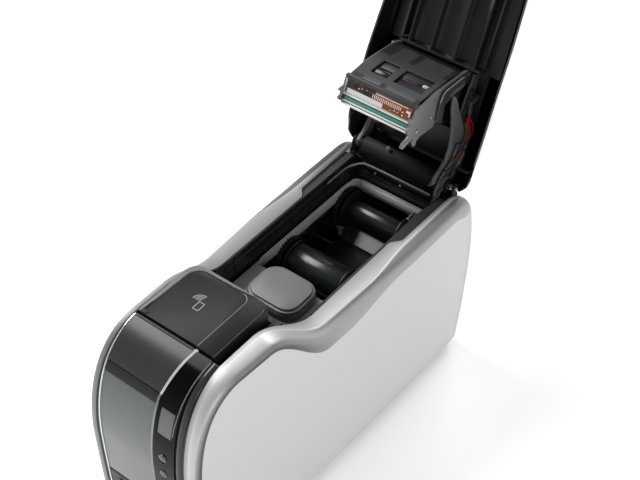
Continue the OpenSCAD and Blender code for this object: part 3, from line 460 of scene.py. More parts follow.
def skin_ob(name, O, I, mats, body, colmat, inner=0, sharp_cols=(), flip=False, cc=False, tone=None, angle=40, bevel=0.0,
            clamp=False):
    """A closed skin between an outer and an inner grid; colmat gives the material of each outer column."""
    n, m = len(O), len(O[0])
    k = n * m
    v = [tuple(p) for r in O for p in r] + [tuple(p) for r in I for p in r]
    if flip:
        v = [(-p[0], p[1], p[2]) for p in v]
    f, fm = [], []
    for i in range(n - 1):
        for j in range(m - 1):
            f.append((i * m + j, (i + 1) * m + j, (i + 1) * m + j + 1, i * m + j + 1))
            fm.append(colmat[j])
            f.append((k + i * m + j, k + i * m + j + 1, k + (i + 1) * m + j + 1, k + (i + 1) * m + j))
            fm.append(inner)
    for j in range(m - 1):
        f.append((j, j + 1, k + j + 1, k + j))
        f.append(((n - 1) * m + j + 1, (n - 1) * m + j, k + (n - 1) * m + j, k + (n - 1) * m + j + 1))
        fm += [colmat[j]] * 2
    for i in range(n - 1):
        f.append(((i + 1) * m, i * m, k + i * m, k + (i + 1) * m))
        fm.append(colmat[0])
        f.append((i * m + m - 1, (i + 1) * m + m - 1, k + (i + 1) * m + m - 1, k + i * m + m - 1))
        fm.append(colmat[-1])
    me = bpy.data.meshes.new(name)
    me.from_pydata([[c * mm for c in q] for q in v], [], f)
    for i, q in enumerate(fm):
        me.polygons[i].material_index = q
    if cc:
        sc = Matrix.Diagonal((1000, 1000, 1000, 1))
        me.transform(sc.inverted() @ OPEN @ sc)
    if clamp:
        for q in me.vertices:
            for a in range(3):
                q.co[a] = max(CAD_LO[a], min(CAD_HI[a], q.co[a]))
    import bmesh
    bm = bmesh.new()
    bm.from_mesh(me)
    bmesh.ops.recalc_face_normals(bm, faces=bm.faces)
    bm.to_mesh(me)
    bm.free()
    for key in mats:
        me.materials.append(M[key])
    me.shade_smooth()
    me.set_sharp_from_angle(angle=math.radians(angle))
    if sharp_cols:
        want = {frozenset((i * m + j, (i + 1) * m + j)) for j in sharp_cols for i in range(n - 1)}
        at = me.attributes.get("sharp_edge") or me.attributes.new("sharp_edge", "BOOLEAN", "EDGE")
        for e in me.edges:
            if frozenset(e.vertices) in want:
                at.data[e.index].value = True
    # tone: per-vertex colour multiplier; on the side shells it holds painted highlight and painted shade
    if tone:
        ca = me.color_attributes.new("tone", "FLOAT_COLOR", "POINT")
        for r in range(2):
            for i in range(n):
                for j in range(m):
                    t = tone(i, j)
                    ca.data[r * k + i * m + j].color = (t, t, t, 1)
    ob = bpy.data.objects.new(name, me)
    scene.collection.objects.link(ob)
    if bevel:
        b = ob.modifiers.new("bevel", "BEVEL")
        b.width = bevel * mm
        b.segments = 2
        b.limit_method = "ANGLE"
        b.angle_limit = math.radians(45)
    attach(ob, body)
    return ob


def front_sheet(name, s0, s1, d0, d1, xl, xr, material, body, ns=40, nx=4, bevel=0.3):
    """A curved strip that follows the front outline between two depths; xl and xr may follow y."""
    def row(s, d):
        y, z = fo(s, d)
        yy = fc(s)[0]
        a = xl(yy) if callable(xl) else xl
        b = xr(yy) if callable(xr) else xr
        return [(lerp(a, b, j / nx), y, z) for j in range(nx + 1)]
    ss = [lerp(s0, s1, i / ns) for i in range(ns + 1)]
    return skin_ob(name, [row(q, d0) for q in ss], [row(q, d1) for q in ss], [material], body, [0] * nx, bevel=bevel)


# side shells: flat panel, rounded band and flat rim
def shell_rows(left):
    st = []
    for i in range(12):
        s = -1 + i / 12
        p, n = fc(s), fin(s)
        w = sstep(i / 12 * 5 / 3) if left else 0
        yb = (-178, -176.4, -172, -168, -165, -163) if left else (-178, -176.4, -174.8, -173.2, -171.6, -170)
        k = min(4, int(i * 5 / 12))
        st.append((p[0], p[1], n[0], n[1], hw(p[0]), 59, 54, 10 + 16 * w, lerp(yb[k], yb[k + 1], i * 5 / 12 - k), w))
    for i in range(45):
        s = i / 44
        p, n = fc(s), fin(s)
        st.append((p[0], p[1], n[0], n[1], hw(p[0]), 55 + 4 * (1 - s), 50.5 + 3.5 * (1 - s), 26 if left else 10,
                   -163 + 33 * s if left else -170 + 40 * s, 1 if left else 0))
    ys = [-126 + 3 * i for i in range(13)] + [-88 + 1.5 * i for i in range(53)] + [-6 + 6 * i for i in range(19)]
    ys += [106 + 1.25 * i for i in range(14)] + [128, 140, 152, 165, 176, 188]
    for y in ys:
        w = scurve(y) if left else 0
        st.append((y, rim_z(y), 0, -1, hw(y), rim_x(y), rim_in(y), band_w(y) + 16 * w, y, w))
    for i in range(0, 19):
        t = i / 18
        p = ((1 - t) ** 2 * 198 + 2 * t * (1 - t) * 219.5 + t * t * 223.5, (1 - t) ** 2 * 220 + 2 * t * (1 - t) * 220.5 + t * t * 194)
        b = (lerp(192, 213.5, t), 220 - lerp(17.5, 26, t))
        d = math.hypot(b[0] - p[0], b[1] - p[1])
        st.append((p[0], p[1], (b[0] - p[0]) / d, (b[1] - p[1]) / d, hw(p[0]), hw(p[0]) - 13.5 + 9.3 * t, lerp(63.6, 73, t), d,
                   190 + t * 6.6, 0))
    for p in crom([(223.5, 194, 196.6), (227.4, 170, 197.6), (229.5, 145, 198.2), (229, 111, 198.9), (226.8, 86, 199.4),
                   (223.2, 52, 200), (218.8, 28, 200.5), (216, 12, 201)], 3)[1:]:
        st.append((p[0], p[1], -1, 0, hw(p[0]), hw(p[0]) - 4.2, hw(p[0]) - 7, 10, p[2], 0))
    return st


BP = [(1, 1), (0.72, 0.985), (0.48, 0.94), (0.28, 0.84), (0.13, 0.62), (0.04, 0.32), (0, 0)]
BPH = [(p[0], p[1]) for p in crom([(a, b, 0) for a, b in BP], 4)]
NB = len(BPH)
T = 2.4


def shell_row(q, t):
    """One outline from the bottom of the panel over the band to the inner edge of the rim."""
    r = [(hw(q[8]) - t, q[8], 10), (hw(q[8]) - t, q[8], 10.5)]
    for a, b in BPH:
        k = q[7] * a + t * (1 - a)
        r.append((q[5] + (q[4] - q[5]) * lerp(b, a, q[9]) - t, q[0] + q[2] * k, max(10.5, q[1] + q[3] * k)))
    g = 0.2 + t
    e = q[5] - t
    r.append((lerp(e, q[6], 0.86), q[0] + q[2] * (t + 0.05), q[1] + q[3] * (t + 0.05)))
    r.append((q[6], q[0] + q[2] * g * 1.0, q[1] + q[3] * g))
    return r


def painted_band_light(rows, left):
    """Painted highlight as a bright line at the rim, painted shade on the darker fillet, and a crisp change at the
    panel; the front has the stronger contrast. The left shell's band and rim are also darker overall, and darker still
    toward the rear.
    """
    def line(u, pts):
        for (a, ta), (b, tb) in zip(pts, pts[1:]):
            if u <= b:
                return lerp(ta, tb, sstep((u - a) / (b - a)))
        return pts[-1][1]

    # painted light across the band, from the panel crease (0) to the rim (1): painted shade near the crease, painted
    # highlight line at the rim
    front = [(0, 0.10), (0.10, 0.12), (0.40, 0.42), (0.66, 0.92), (0.95, 1.08), (1, 1.5)]
    rear = [(0, 0.60), (0.30, 0.56), (0.60, 0.54), (0.86, 0.46), (0.95, 1.5), (1, 1.6)]

    def tone(i, j):
        u = (j - 2) / (NB - 1)
        y, z = rows[i][0], rows[i][1]
        # the left shell's band and rim are darker overall, and darker still toward the rear
        far = lerp(0.60, 0.28, sstep((y - 110) / 60)) if left else 1.0
        if u > 1.001:
            return far
        u = max(0.0, u)
        t = lerp(line(u, front), line(u, rear), sstep((y + 70) / 90))
        # low at the rear corner the band blends to a flat 0.86, without the painted shade and highlight
        k = sstep((212 - z) / 16) if y > 205 else 0
        return lerp(t * far, 0.86, k)
    return tone


# side shell skins; the band carries painted highlight and painted shade through the tone attribute
for side in (1, -1):
    nm = "right_side_shell" if side > 0 else "left_side_shell"
    rows = shell_rows(side < 0)
    O = [shell_row(q, 0) for q in rows]
    I = [shell_row(q, T) for q in rows]
    cm = [0, 0] + [1] * (NB - 1) + [2, 2]
    o = skin_ob(nm + "_skin", O, I, ["silver", "band", "rim"], "housing", cm, inner=0, sharp_cols=(2, 2 + NB - 1), flip=side < 0,
                tone=painted_band_light(rows, side < 0), angle=50)
    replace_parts(o, nm)

# ------------------------------------------------------------------ front: door, strips, column
def sx(y):
    return 23 if y > -130 else 14.7 if y < -173 else 14.7 + 8.3 * ((y + 173) / 43) ** 0.62


def bake(ob):
    """Turns the piece's modifiers into plain mesh."""
    dg = bpy.context.evaluated_depsgraph_get()
    me = bpy.data.meshes.new_from_object(ob.evaluated_get(dg))
    ob.modifiers.clear()
    ob.data = me


def front_ramp(name, s0, s1, da, db, d1, xl, xr, material, body, ns=40, nx=4, bevel=0.2, crown=0.0):
    """Like front_sheet, with a depth that runs from da at xl to db at xr, and a rounded back if crown is set."""
    def row(s, deep):
        yy = fc(s)[0]
        a = xl(yy, s) if callable(xl) else xl
        b = xr(yy, s) if callable(xr) else xr
        out = []
        for j in range(nx + 1):
            t = j / nx
            d = d1 if deep else lerp(da, db, t) - crown * (1 - (2 * t - 1) ** 2)
            y, z = fo(s, d)
            out.append((lerp(a, b, t), y, z))
        return out
    ss = [lerp(s0, s1, i / ns) for i in range(ns + 1)]
    return skin_ob(name, [row(q, False) for q in ss], [row(q, True) for q in ss], [material], body, [0] * nx, bevel=bevel)


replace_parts(front_sheet("feeder_door_skin", 0.545, 0.972, 0.8, 3.2, -48.2, lambda y: sx(y) - 1.6, "door", "feed_door", ns=48, nx=16,
                        bevel=0.15), "feeder_door")
front_sheet("feeder_door_lip", 0.55, 0.615, 3.2, 6.2, -46, 12.5, "dark_smooth", "feed_door", ns=6, nx=2)
lathe("feeder_door_barrel", [(-47.6, 1.3), (-47.6, 2.3), (18.6, 2.3), (18.6, 1.3), (-47.6, 1.3)], (0, -131.2, 254), "X",
      "black", "feed_door", n=24)
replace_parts(front_sheet("front_window_skin", -0.41, 0.532, 1.6, 3.6, -48.6, lambda y: sx(y) - 1.2, "window", "housing", ns=48,
                        nx=12, bevel=0.3), "front_window")
front_sheet("front_window_head", 0.455, 0.533, 1.35, 1.7, -48.5, lambda y: sx(y) - 1.3, "black_satin", "housing", ns=8, nx=8,
            bevel=0.1)
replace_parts(front_ramp("trim_strip_right", 0.54, 1.0, 0.35, 1.3, 4.2, lambda y, s: sx(y) - 1.2,
                       lambda y, s: sx(y) + 1.0 + 2.6 * math.sin(math.pi * min(1, max(0, (s - 0.52) / 0.48))) ** 0.8, "trim_white",
                       "housing", ns=40), "trim_strips")
front_ramp("trim_strip_right_low", -0.41, 0.54, 0.6, 1.2, 4.2, lambda y, s: sx(y) - 1.2, lambda y, s: sx(y) + 1.0, "trim_dim",
           "housing", ns=40)
front_ramp("trim_strip_left", -1, 0.985, 0.6, 0.6, 4.2, lambda y, s: -50.2 + 0.5 * sstep((s - 0.55) / 0.3), -48.6 - 0.1, "trim", "housing",
           ns=90, nx=1, bevel=0.2)
front_ramp("left_band_skin", -1, 0.985, 1.5, 1.5, 2.6, lambda y, s: -max(50.5, min(53.5, 50.3 + 3.2 * (1 - s))), -50.35,
           "dark_smooth", "housing", ns=80, nx=1, bevel=0.2)


def column_left(y, s):
    return 22.0 if s < -0.41 else sx(y) + 1.2


col = front_ramp("display_column_skin", -1, 0.985, 0.8, 0.8, 3.8, column_left, 41.2, "gloss", "housing", ns=110, nx=14, bevel=0)
cutters = [cyl("cut1", "Y", (28, 0, 120), -200, -180, 6.5, "black", None, n=40, bevel=0),
           cyl("cut2", "Y", (28, 0, 148), -200, -180, 5, "black", None, n=40, bevel=0),
           cyl("cut3", "Y", (28, 0, 170), -200, -180, 5, "black", None, n=40, bevel=0),
           box("cut4", 20, 36, -200, -175, 196, 222, "black", None, bevel=0)]
for c in cutters:
    b = col.modifiers.new("cut", "BOOLEAN")
    b.operation = "DIFFERENCE"
    b.solver = "EXACT"
    b.object = c
bake(col)
for c in cutters:
    bpy.data.objects.remove(c)
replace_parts(col, "display_column")
# silver line and rounded bead between the glossy column and the rim
front_ramp("column_line", 0.30, 0.965, 0.42, 0.60, 2.4, lambda y, s: 40.9 - 6.5 * max(0, (0.95 - s)) ** 1.2, lambda y, s: 41.9 - 6.5 *
           max(0, (0.95 - s)) ** 1.2, "border", "housing", ns=30, nx=1, bevel=0.2)
front_ramp("column_bead", -1, 0.975, 2.0, 2.0, 3.4, lambda y, s: 42.2, lambda y, s: 48.6, "dark_smooth", "housing", ns=90, nx=8,
           bevel=0, crown=1.3)
front_ramp("column_gap", -1, 0.985, 2.3, 2.3, 3.6, 41.2, lambda y, s: min(53.5, 50.4 + 3.2 * (1 - s)), "black", "housing", ns=90,
           nx=1, bevel=0)

# display screen: one pane with blank tone
front_sheet("display_screen_pane", 0.262, 0.488, 1.05, 2.6, 20.4, 35.6, "screen", "housing", ns=14, nx=6, bevel=0.1)
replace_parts(bpy.data.objects["display_screen_pane"], "display_screen")

# ------------------------------------------------------------------ card feeder top
def arc(cx, cy, r, a0, a1, n=10):
    return [(cx + r * math.cos(math.radians(lerp(a0, a1, i / n))), cy + r * math.sin(math.radians(lerp(a0, a1, i / n))))
            for i in range(n + 1)]


def fc_outer(i):
    return arc(-49.8 + 14, -52 - 14, 14 - i, 180, 90, 14)


border = [(-49.4, -127.6)] + arc(-35.8, -66, 13.6, 180, 90, 16) + [(20, -52.4), (20, -53.6), (0, -55.4)] \
    + arc(-30, -70, 14.0, 90, 180, 16) + [(-45.2, -110), (-46.4, -127.6)]
prism("feeder_border", border, 256.2, 258.0, "Z", "border", "housing", bevel=0.7, seg=3)
crease = [(20.6, -127.6, 257.1), (20.6, -100, 257.15), (20.6, -73, 257.15)] + \
    [(x, y, 257.2) for x, y in arc(11.6, -65, 9.0, -2, 84, 8)] + [(2, -55.6, 257.3)]
tube("feeder_crease", crease, 0.55, "border", "housing", n=8, smooth=4)

# blank pictogram: a card outline with three arcs
PCX, PCY = -9.9, -92.0


def pic_ring(name, outer, inner, key="picto"):
    v = [(x, y, 257.12) for x, y in outer + inner] + [(x, y, 257.24) for x, y in outer + inner]
    n = len(outer)
    f = []
    for i in range(n):
        j = (i + 1) % n
        f += [(2 * n + i, 2 * n + j, 3 * n + j, 3 * n + i), (i, j, 2 * n + j, 2 * n + i), (n + j, n + i, 3 * n + i, 3 * n + j)]
    finish_piece(mesh_ob(name, v, f), key, "housing")


def rr(hx, hy, r):
    q = []
    for cx, cy, a in ((hx - r, hy - r, 0), (-hx + r, hy - r, 90), (-hx + r, -hy + r, 180), (hx - r, -hy + r, 270)):
        q += [(PCX + cx + r * math.cos(math.radians(a + b)), PCY + cy + r * math.sin(math.radians(a + b))) for b in (0, 30, 60, 90)]
    return q


pic_ring("pictogram_card", rr(3.5, 5.1, 0.9), rr(2.7, 4.3, 0.5))
for k, r in enumerate((2.6, 4.6, 6.6, 8.6)):
    ax, ay = PCX - 3.0, PCY + 4.6
    a = [(ax + r * math.cos(math.radians(t)), ay + r * math.sin(math.radians(t))) for t in range(78, 179, 10)]
    b = [(ax + (r - 0.8) * math.cos(math.radians(t)), ay + (r - 0.8) * math.sin(math.radians(t))) for t in range(178, 77, -10)]
    prism("pictogram_arc_%d" % k, a + b, 257.12, 257.24, "Z", "picto", "housing", bevel=0)
edge = [(38.3, -127.4, 254.75), (38.3, -100, 254.75), (38.3, -68, 254.75)] + [(x, y, 254.75) for x, y in arc(31.0, -62.5, 7.3, 0, 60, 5)]
tube("feeder_edge", edge, 0.22, "border", "housing", n=8, smooth=4)

# ------------------------------------------------------------------ print head, drawn closed
H = "print_head"
X0, X1 = -47.0, 33.0


def hbox(name, x0, x1, y0, y1, z0, z1, material, bevel=0.12):
    return box(name, x0, x1, y0, y1, z0, z1, material, H, bevel, cc=True)


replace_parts(hbox("head_bar_low", X0, X1, 150.2, 152.4, 141.6, 144.0, "bar", 0.5), "head_rods")
hbox("head_bar_high", X0 + 1, X1 - 1, 147.7, 149.0, 141.9, 144.2, "bar", 0.2)
cyl("head_cross_rod", "X", (0, 150.1, 154.3), X0, X1, 1.6, "steel", H, cc=True)
hbox("head_bar_gap", X0, X1, 148.9, 150.3, 142.6, 144.4, "black")
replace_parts(hbox("ceramic_strip", X0 + 2.4, X1 - 1.6, 139.7, 147.7, 142.5, 144.4, "ceramic"), "head_ceramic")
hbox("heater_glaze", X0 + 2.8, X1 - 2.0, 144.0, 147.4, 142.25, 142.6, "teal")
cyl("heater_line", "X", (0, 146.4, 142.5), X0 + 3, X1 - 2.2, 0.45, "teal_dark", H, cc=True)
hbox("ceramic_shadow", X0 + 2.4, X1 - 1.6, 142.7, 143.9, 142.35, 142.6, "black_satin")
hbox("ceramic_edge", X0 + 0.6, X1 - 0.2, 141.2, 142.6, 142.0, 142.7, "bar", 0.2)
hbox("ceramic_bar", X0 + 1.2, X1 - 1.4, 139.8, 141.1, 142.2, 142.7, "alu", 0.2)
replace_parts(hbox("head_board", -12, 31.4, 126.6, 139.8, 142.25, 144.4, "amber", 0.2), "head_flex_circuit")
hbox("head_board_dark", -45.2, -12, 126.6, 139.8, 142.25, 144.4, "amber_dark", 0.2)
hbox("head_label", -43.6, -1.4, 134.9, 139.7, 142.0, 142.25, "label", 0.08)
for i in range(17):
    x = -14.5 + i * 2.05
    hbox("contact_%02d" % i, x, x + 0.75, 130.1, 134.1, 142.0, 142.3, "comb", 0.05)
hbox("contact_rail", -11.5, 26.5, 128.1, 128.8, 141.9, 142.3, "bar", 0.1)
for i, (x, y, r) in enumerate([(12.5, 136.2, 0.75), (16.2, 136.6, 0.6), (21.6, 134.2, 0.7), (22.0, 137.4, 0.8), (-31, 131.4, 0.7),
                               (-27.6, 130.2, 0.5), (-22, 129.8, 0.5), (8.2, 137.6, 0.45)]):
    cyl("solder_%d" % i, "Z", (x, y, 0), 141.9, 142.4, r, "white_hot", H, n=16, bevel=0.1, cc=True)
hbox("board_plug", 25.4, 30.2, 131.0, 133.0, 141.6, 142.4, "white", 0.15)
hbox("board_plug_b", 28.6, 30.2, 133.0, 136.4, 141.6, 142.4, "white", 0.15)
hbox("board_chip", -38.5, -33.5, 128.6, 132.0, 141.7, 142.4, "black_satin", 0.1)
hbox("board_chip_b", -25.6, -19.6, 131.0, 133.4, 141.7, 142.4, "black_satin", 0.1)
hbox("head_left_strut", X0 - 0.2, X0 + 1.2, 126.6, 142.4, 141.8, 144.4, "alu", 0.25)
hbox("head_beam", X0 - 2.4, X1 + 2.4, 121.6, 126.4, 141.8, 147.0, "beam", 0.9)
hbox("head_bolster", X0, X1, 149.0, 151.4, 144.0, 153.0, "dark", 0.4)

# dark cover over the sloping side of the head, with openings
slope = [(124.4, 145.6), (119.0, 150.6), (110.2, 169.3), (102.9, 191.4), (97.0, 213.6), (98.6, 214.4), (104.8, 192.3),
         (112.2, 170.2), (120.6, 152.4), (125.6, 147.2)]
for nm, a, b in (("a", X0, -33.0), ("b", -14.0, -6.0), ("c", 27.0, X1)):
    prism("head_slope_" + nm, slope, a, b, "X", "beam", H, bevel=0.4, cc=True)
prism("head_slope_front", [(124.4, 145.6), (119.0, 150.6), (115.4, 158.2), (117.0, 159.0), (120.6, 152.4), (125.6, 147.2)], X0, X1,
      "X", "beam", H, bevel=0.4, cc=True)
prism("head_slope_rear", [(106.4, 180.8), (102.9, 191.4), (97.0, 213.6), (98.6, 214.4), (104.8, 192.3), (108.2, 181.6)], X0, X1,
      "X", "beam", H, bevel=0.4, cc=True)
prism("head_slope_floor", [(119.4, 157.6), (113.4, 171.0), (109.6, 182.4), (111.4, 183.0), (115.0, 171.8), (121.0, 158.6)], X0 + 1,
      X1 - 1, "X", "black_satin", H, bevel=0.2, cc=True)
lathe("head_roller_left", [(-32, 6.4), (-29.6, 7.2), (-17.4, 7.2), (-15, 6.4)], (0, 119.0, 169.4), "X", "black_satin", H, n=40,
      bevel=0.3, cc=True)
hbox("head_tab", 19.6, 25.4, 110.8, 113.2, 170.4, 175.0, "white_hot", 0.3)
for k, (key, dx) in enumerate((("purple", 0), ("red_dim", 1.5), ("purple", 3.0), ("wire_black", 4.5))):
    tube("head_lead_%d" % k, [(24 - dx * 0.2, 112.6, 176 + dx * 0.8), (16 - dx, 112.9, 173.2 + dx * 0.6),
                              (6 - dx, 113.4, 171.8 + dx * 0.7), (-3.5, 113.2, 170.6 + dx)], 0.62, key, H, n=8, cc=True)

# side plates with notches and the forked hook
plate_r = [(126.0, 142.6), (121.0, 154.0), (112.0, 171.0), (104.5, 192), (95.5, 222), (96, 231), (101, 233), (112, 229), (118, 214), (128, 199), (141, 191), (150.6, 186), (153.4, 176), (157.0, 165.5), (161.8, 160.0), (164.6, 161.4), (167.4, 158.6),
           (163.4, 154.2), (159.0, 154.6), (157.0, 151.4), (160.2, 146.4), (166.6, 137.4), (165.0, 133.4), (161.0, 134.0),
           (156.4, 141.4), (153.0, 143.2), (151.6, 138.4), (147.4, 136.2), (145.4, 139.2), (140.6, 139.6), (139.6, 136.0),
           (136.0, 135.8), (134.6, 141.6)]
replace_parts(prism("head_plate_right", plate_r, X1, X1 + 2.6, "X", "plate", H, bevel=0.35, cc=True), "head_side_plates")
plate_l = [(126.0, 142.6), (121.0, 154.0), (112.0, 171.0), (104.5, 192), (95.5, 222), (96, 231), (101, 234), (150, 234), (150, 158),
           (151.0, 146), (149.0, 138.4), (145.4, 136.2), (144.6, 140.0), (140, 139.4), (139.2, 134.6), (136.2, 135.6), (134.4, 142)]
prism("head_plate_left", plate_l, X0 - 2.6, X0, "X", "plate", H, bevel=0.35, cc=True)
cyl("plate_pin_a", "X", (0, 150.1, 154.3), X1 + 2.4, X1 + 4.0, 2.4, "steel", H, cc=True)
cyl("plate_pin_b", "X", (0, 120.0, 172.0), X1 + 2.4, X1 + 3.2, 2.2, "steel_dark", H, cc=True)
cyl("plate_pin_c", "X", (0, 139.0, 178.0), X1 + 2.4, X1 + 3.4, 1.6, "steel", H, cc=True)

lever = [(95, 228.4), (98, 232.9), (107, 218), (115.4, 196.1), (121.1, 191), (134.4, 194), (146.3, 196.2), (144.4, 184.8),
         (133.9, 181.7), (122.2, 179.6), (112.4, 182.2), (105, 199), (99.7, 213.7)]
prism("head_lever", lever, 37.2, 38.6, "X", "arm_dark", "cover", bevel=0.4, cc=True)
tube("head_lever_edge", [(38.7, 99.7, 213.9), (38.7, 105.2, 199), (38.7, 112.6, 182.6), (38.7, 122.3, 180.0)], 0.7, "arm_light", "cover",
     n=8, cc=True)
prism("head_stay", [(97, 226), (97, 238.5), (160, 238.5), (160, 226), (128, 222), (112, 224)], 41.4, 43.6, "X", "arm_dark", "cover",
      bevel=0.4, cc=True)

# ------------------------------------------------------------------ ribbon cartridge
C = "cartridge"
box("cartridge_lip_left", -53.2, -51.9, 40, 186, 185.6, 187.2, "light", C, 0.4)
box("cartridge_lip_right", 47.6, 49.0, 40, 186, 185.6, 187.2, "light", C, 0.4)
box("cartridge_far_step", -40, 33, 193.0, 194.6, 177.0, 181.5, "mid", C, 0.4)
box("cartridge_far_lip", -44, 36, 197.6, 199, 185.6, 187.0, "light", C, 0.4)
box("cartridge_near_step", -50, 41.4, 33.6, 35.0, 177.0, 181.0, "mid", C, 0.4)
for i, (a, b) in enumerate(((44, 66), (94, 116), (120, 142), (146, 158))):
    box("cartridge_window_%d" % i, 43.6, 46.6, a, b, 185.7, 186.15, "black_satin", C, 0.1)
    box("cartridge_side_window_%d" % i, 48.9, 49.15, a, b, 178.6, 183.4, "black_satin", C, 0.08)
for i, y in enumerate((80, 176)):
    for k, (xa, xb) in enumerate(((-53.4, -52.8), (45.7, 46.3))):
        lathe("cartridge_hub_%d_%d" % (i, k), [(xa, 4.6), (xa, 7.2), (xb, 7.2), (xb, 4.6), (xa, 4.6)], (0, y, 163), "X", "mid", C, n=32)
for i, y in enumerate((44, 110, 140)):
    prism("cartridge_foot_%d" % i, [(y - 5, 176.4), (y + 5, 176.4), (y + 2.4, 171.4), (y - 2.4, 171.4)], -53.2, -51.2, "X", "light", C,
          bevel=0.3)

# ------------------------------------------------------------------ bay
# dark flange between the rims and the bay
def flange_pts(side):
    ys = [-6 + 6 * i for i in range(19)] + [106, 108, 111, 114, 117, 120, 122, 126, 134, 146, 160, 174, 186, 196]
    outer = [(side * (rim_in(y) + 0.5), y) for y in ys]
    lo = 49.9 if side > 0 else 54.0
    inner = [(side * (lo + (3.9 * sstep((y - 166) / 20) if side > 0 else 0)), y) for y in reversed(ys)]
    return outer + inner


prism("bay_flange_right", flange_pts(1), 215.4, 217.0, "Z", "flange", "housing", bevel=0.5)
prism("bay_flange_left", flange_pts(-1), 215.4, 217.0, "Z", "flange", "housing", bevel=0.5)
box("bay_wall_right", 55.2, 57.2, -40, 203, 150, 216, "black_satin", "housing", 0.3)
box("bay_wall_left", -57.2, -55.4, -40, 203, 100, 216, "black_satin", "housing", 0.3)
box("bay_wall_rear", -57, 57, 200.8, 203.2, 90, 198, "black_satin", "housing", 0.3)
# ribs on the left wall, and rails on both walls
for i, y in enumerate((6, 34, 62, 96, 124, 152, 184)):
    box("left_wall_rib_%d" % i, -55.6, -54.4, y, y + 1.6, 178 if 60 < y < 100 or y > 150 else 120, 213, "black", "housing", 0.3)
box("left_wall_rail", -55.8, -54.2, -8, 198, 205.5, 207.5, "dark", "housing", 0.4)
box("right_wall_rail", 50.6, 55.4, 104, 184, 205.5, 207.5, "dark", "housing", 0.4)
# curved lip in front of the rear wall, a ledge, small bracket, infills at the hinge and studs
lip = [(-52.5, 150, 210.5), (-52.5, 176, 210.5), (-50.5, 186, 210.5), (-44, 196.2, 210.4), (-34, 199.0, 210.4), (-8, 199.6, 210.4),
       (20, 199.8, 210.4), (41, 199.8, 210.4)]
tube("rear_lip", lip, 1.1, "mid", "housing", n=10, smooth=6)
box("rear_ledge", -46, 41, 199.4, 203.2, 206.0, 208.4, "dark_smooth", "housing", 0.5)
box("rear_bracket", 39.6, 44.6, 160, 173, 204.4, 206.6, "plate", "housing", 0.5)
box("rear_bracket_ear", 42.2, 44.6, 160, 166, 206.4, 211.4, "plate", "housing", 0.5)
box("rear_bracket_leg", 44.4, 55.3, 164, 171, 203.4, 205.6, "arm_dark", "housing", 0.4)
cyl("rear_bracket_screw", "Z", (41.8, 169.4, 0), 206.5, 207.6, 1.5, "steel", "housing", n=24)
box("hinge_infill_right", 51.4, 64, 213.8, 215.2, 204, 215.6, "hump", "housing", 0.3)
box("hinge_infill_left", -64, -51.4, 213.8, 215.2, 204, 215.6, "hump", "housing", 0.3)
for i, x in enumerate((-28, 4)):
    cyl("rear_stud_%d" % i, "Y", (x, 0, 203), 198.6, 201.2, 1.3, "steel", "housing", n=20)
# bracket halfway along the right wall
box("wall_pocket", 49.9, 54.2, -9, 12, 213.8, 217.3, "black", "housing", 0.3)
# platform: ribs, sensor hole frame, stepped boxes
for i, y in enumerate((10, 26, 44, 62, 88)):
    box("platform_rib_%d" % i, -42.6, -36.8, y, y + 1.4, 137.0, 139.4, "dark", "housing", 0.2)
box("platform_plate", -35, 21.6, 4, 100, 136.9, 137.6, "dark_smooth", "housing", 0.2)
box("platform_step", -34, 20.8, 122, 130.4, 136.9, 139.0, "dark", "housing", 0.4)
box("sensor_frame_a", -14.4, -13.1, 124.6, 133.4, 139.0, 139.8, "mid", "housing", 0.15)
for i, (x, y) in enumerate(((44, 20), (44, 46), (49, 108), (49, 128))):
    cyl("cowl_screw_%d" % i, "Z", (x, y, 0), 151.9 if y < 60 else 139.9, 153 if y < 60 else 141, 2.2, "steel_dark", "housing", n=24)

# ------------------------------------------------------------------ hinge arm, guard and cables, drawn open
arm = [(184.6, 234.4), (192, 236), (196, 241.5), (204, 245.6), (214, 252.0), (219.0, 262), (220.6, 272), (221, 285), (219.6, 298),
       (217.4, 312), (218.2, 322), (222, 326), (227, 316), (232, 300), (239, 285), (243, 274), (244.4, 263), (242.4, 253.5),
       (235, 247.6), (231, 238.5), (228, 231), (219.5, 225.4), (206, 228), (193, 230.6), (186, 231.6)]
arm_c = [tuple((OPEN.inverted() @ Vector((0, a, b)))[1:]) for a, b in arm]
arm_c = [(min(210.6, a), b) for a, b in arm_c]
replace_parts(prism("hinge_arm_right", arm_c, 45.2, 48.2, "X", "arm", "cover", bevel=0.7, seg=3, cc=True), "right_hinge_arm")
tube("hinge_arm_line", [(45.2, 221.4, 318), (45.2, 229.6, 303), (45.2, 238, 287), (45.2, 242.6, 274), (45.2, 244.2, 263), (45.2, 241.8,
     254.4)], 0.6, "arm_light", "cover", n=8, smooth=4)
lathe("hinge_arm_right_eye", [(49.4, 2.7), (49.4, 8.4), (51.6, 8.4), (51.6, 2.7), (49.4, 2.7)], (0, 212, 223), "X", "arm",
      "cover", n=48, bevel=0.3)
prism("hinge_arm_right_web", [(219.4, 225), (232, 240), (242, 266), (246, 306), (251, 306), (248, 268), (240, 242), (228, 222),
                              (219.6, 219)], 49.4, 51.6, "X", "arm_dark", "cover", bevel=0.5)
box("hinge_arm_foot", 45.6, 51.2, 247.4, 262, 300, 306, "arm_dark", "cover", 0.6)
cyl("hinge_arm_rivet", "X", (0, 231.4, 262), 44.6, 45.4, 1.8, "steel_dark", "cover", n=24)
for k, (x, y) in enumerate(((31.4, 121.3), (36.6, 118.0))):
    cyl("cover_boss_%d" % k, "Z", (x, y, 0), 237.6, 239.2, 2.6 - 0.6 * k, "black_satin", "cover", n=32, cc=True)
    cyl("cover_screw_%d" % k, "Z", (x, y, 0), 237.0, 237.8, 1.2, "steel", "cover", n=24, cc=True)
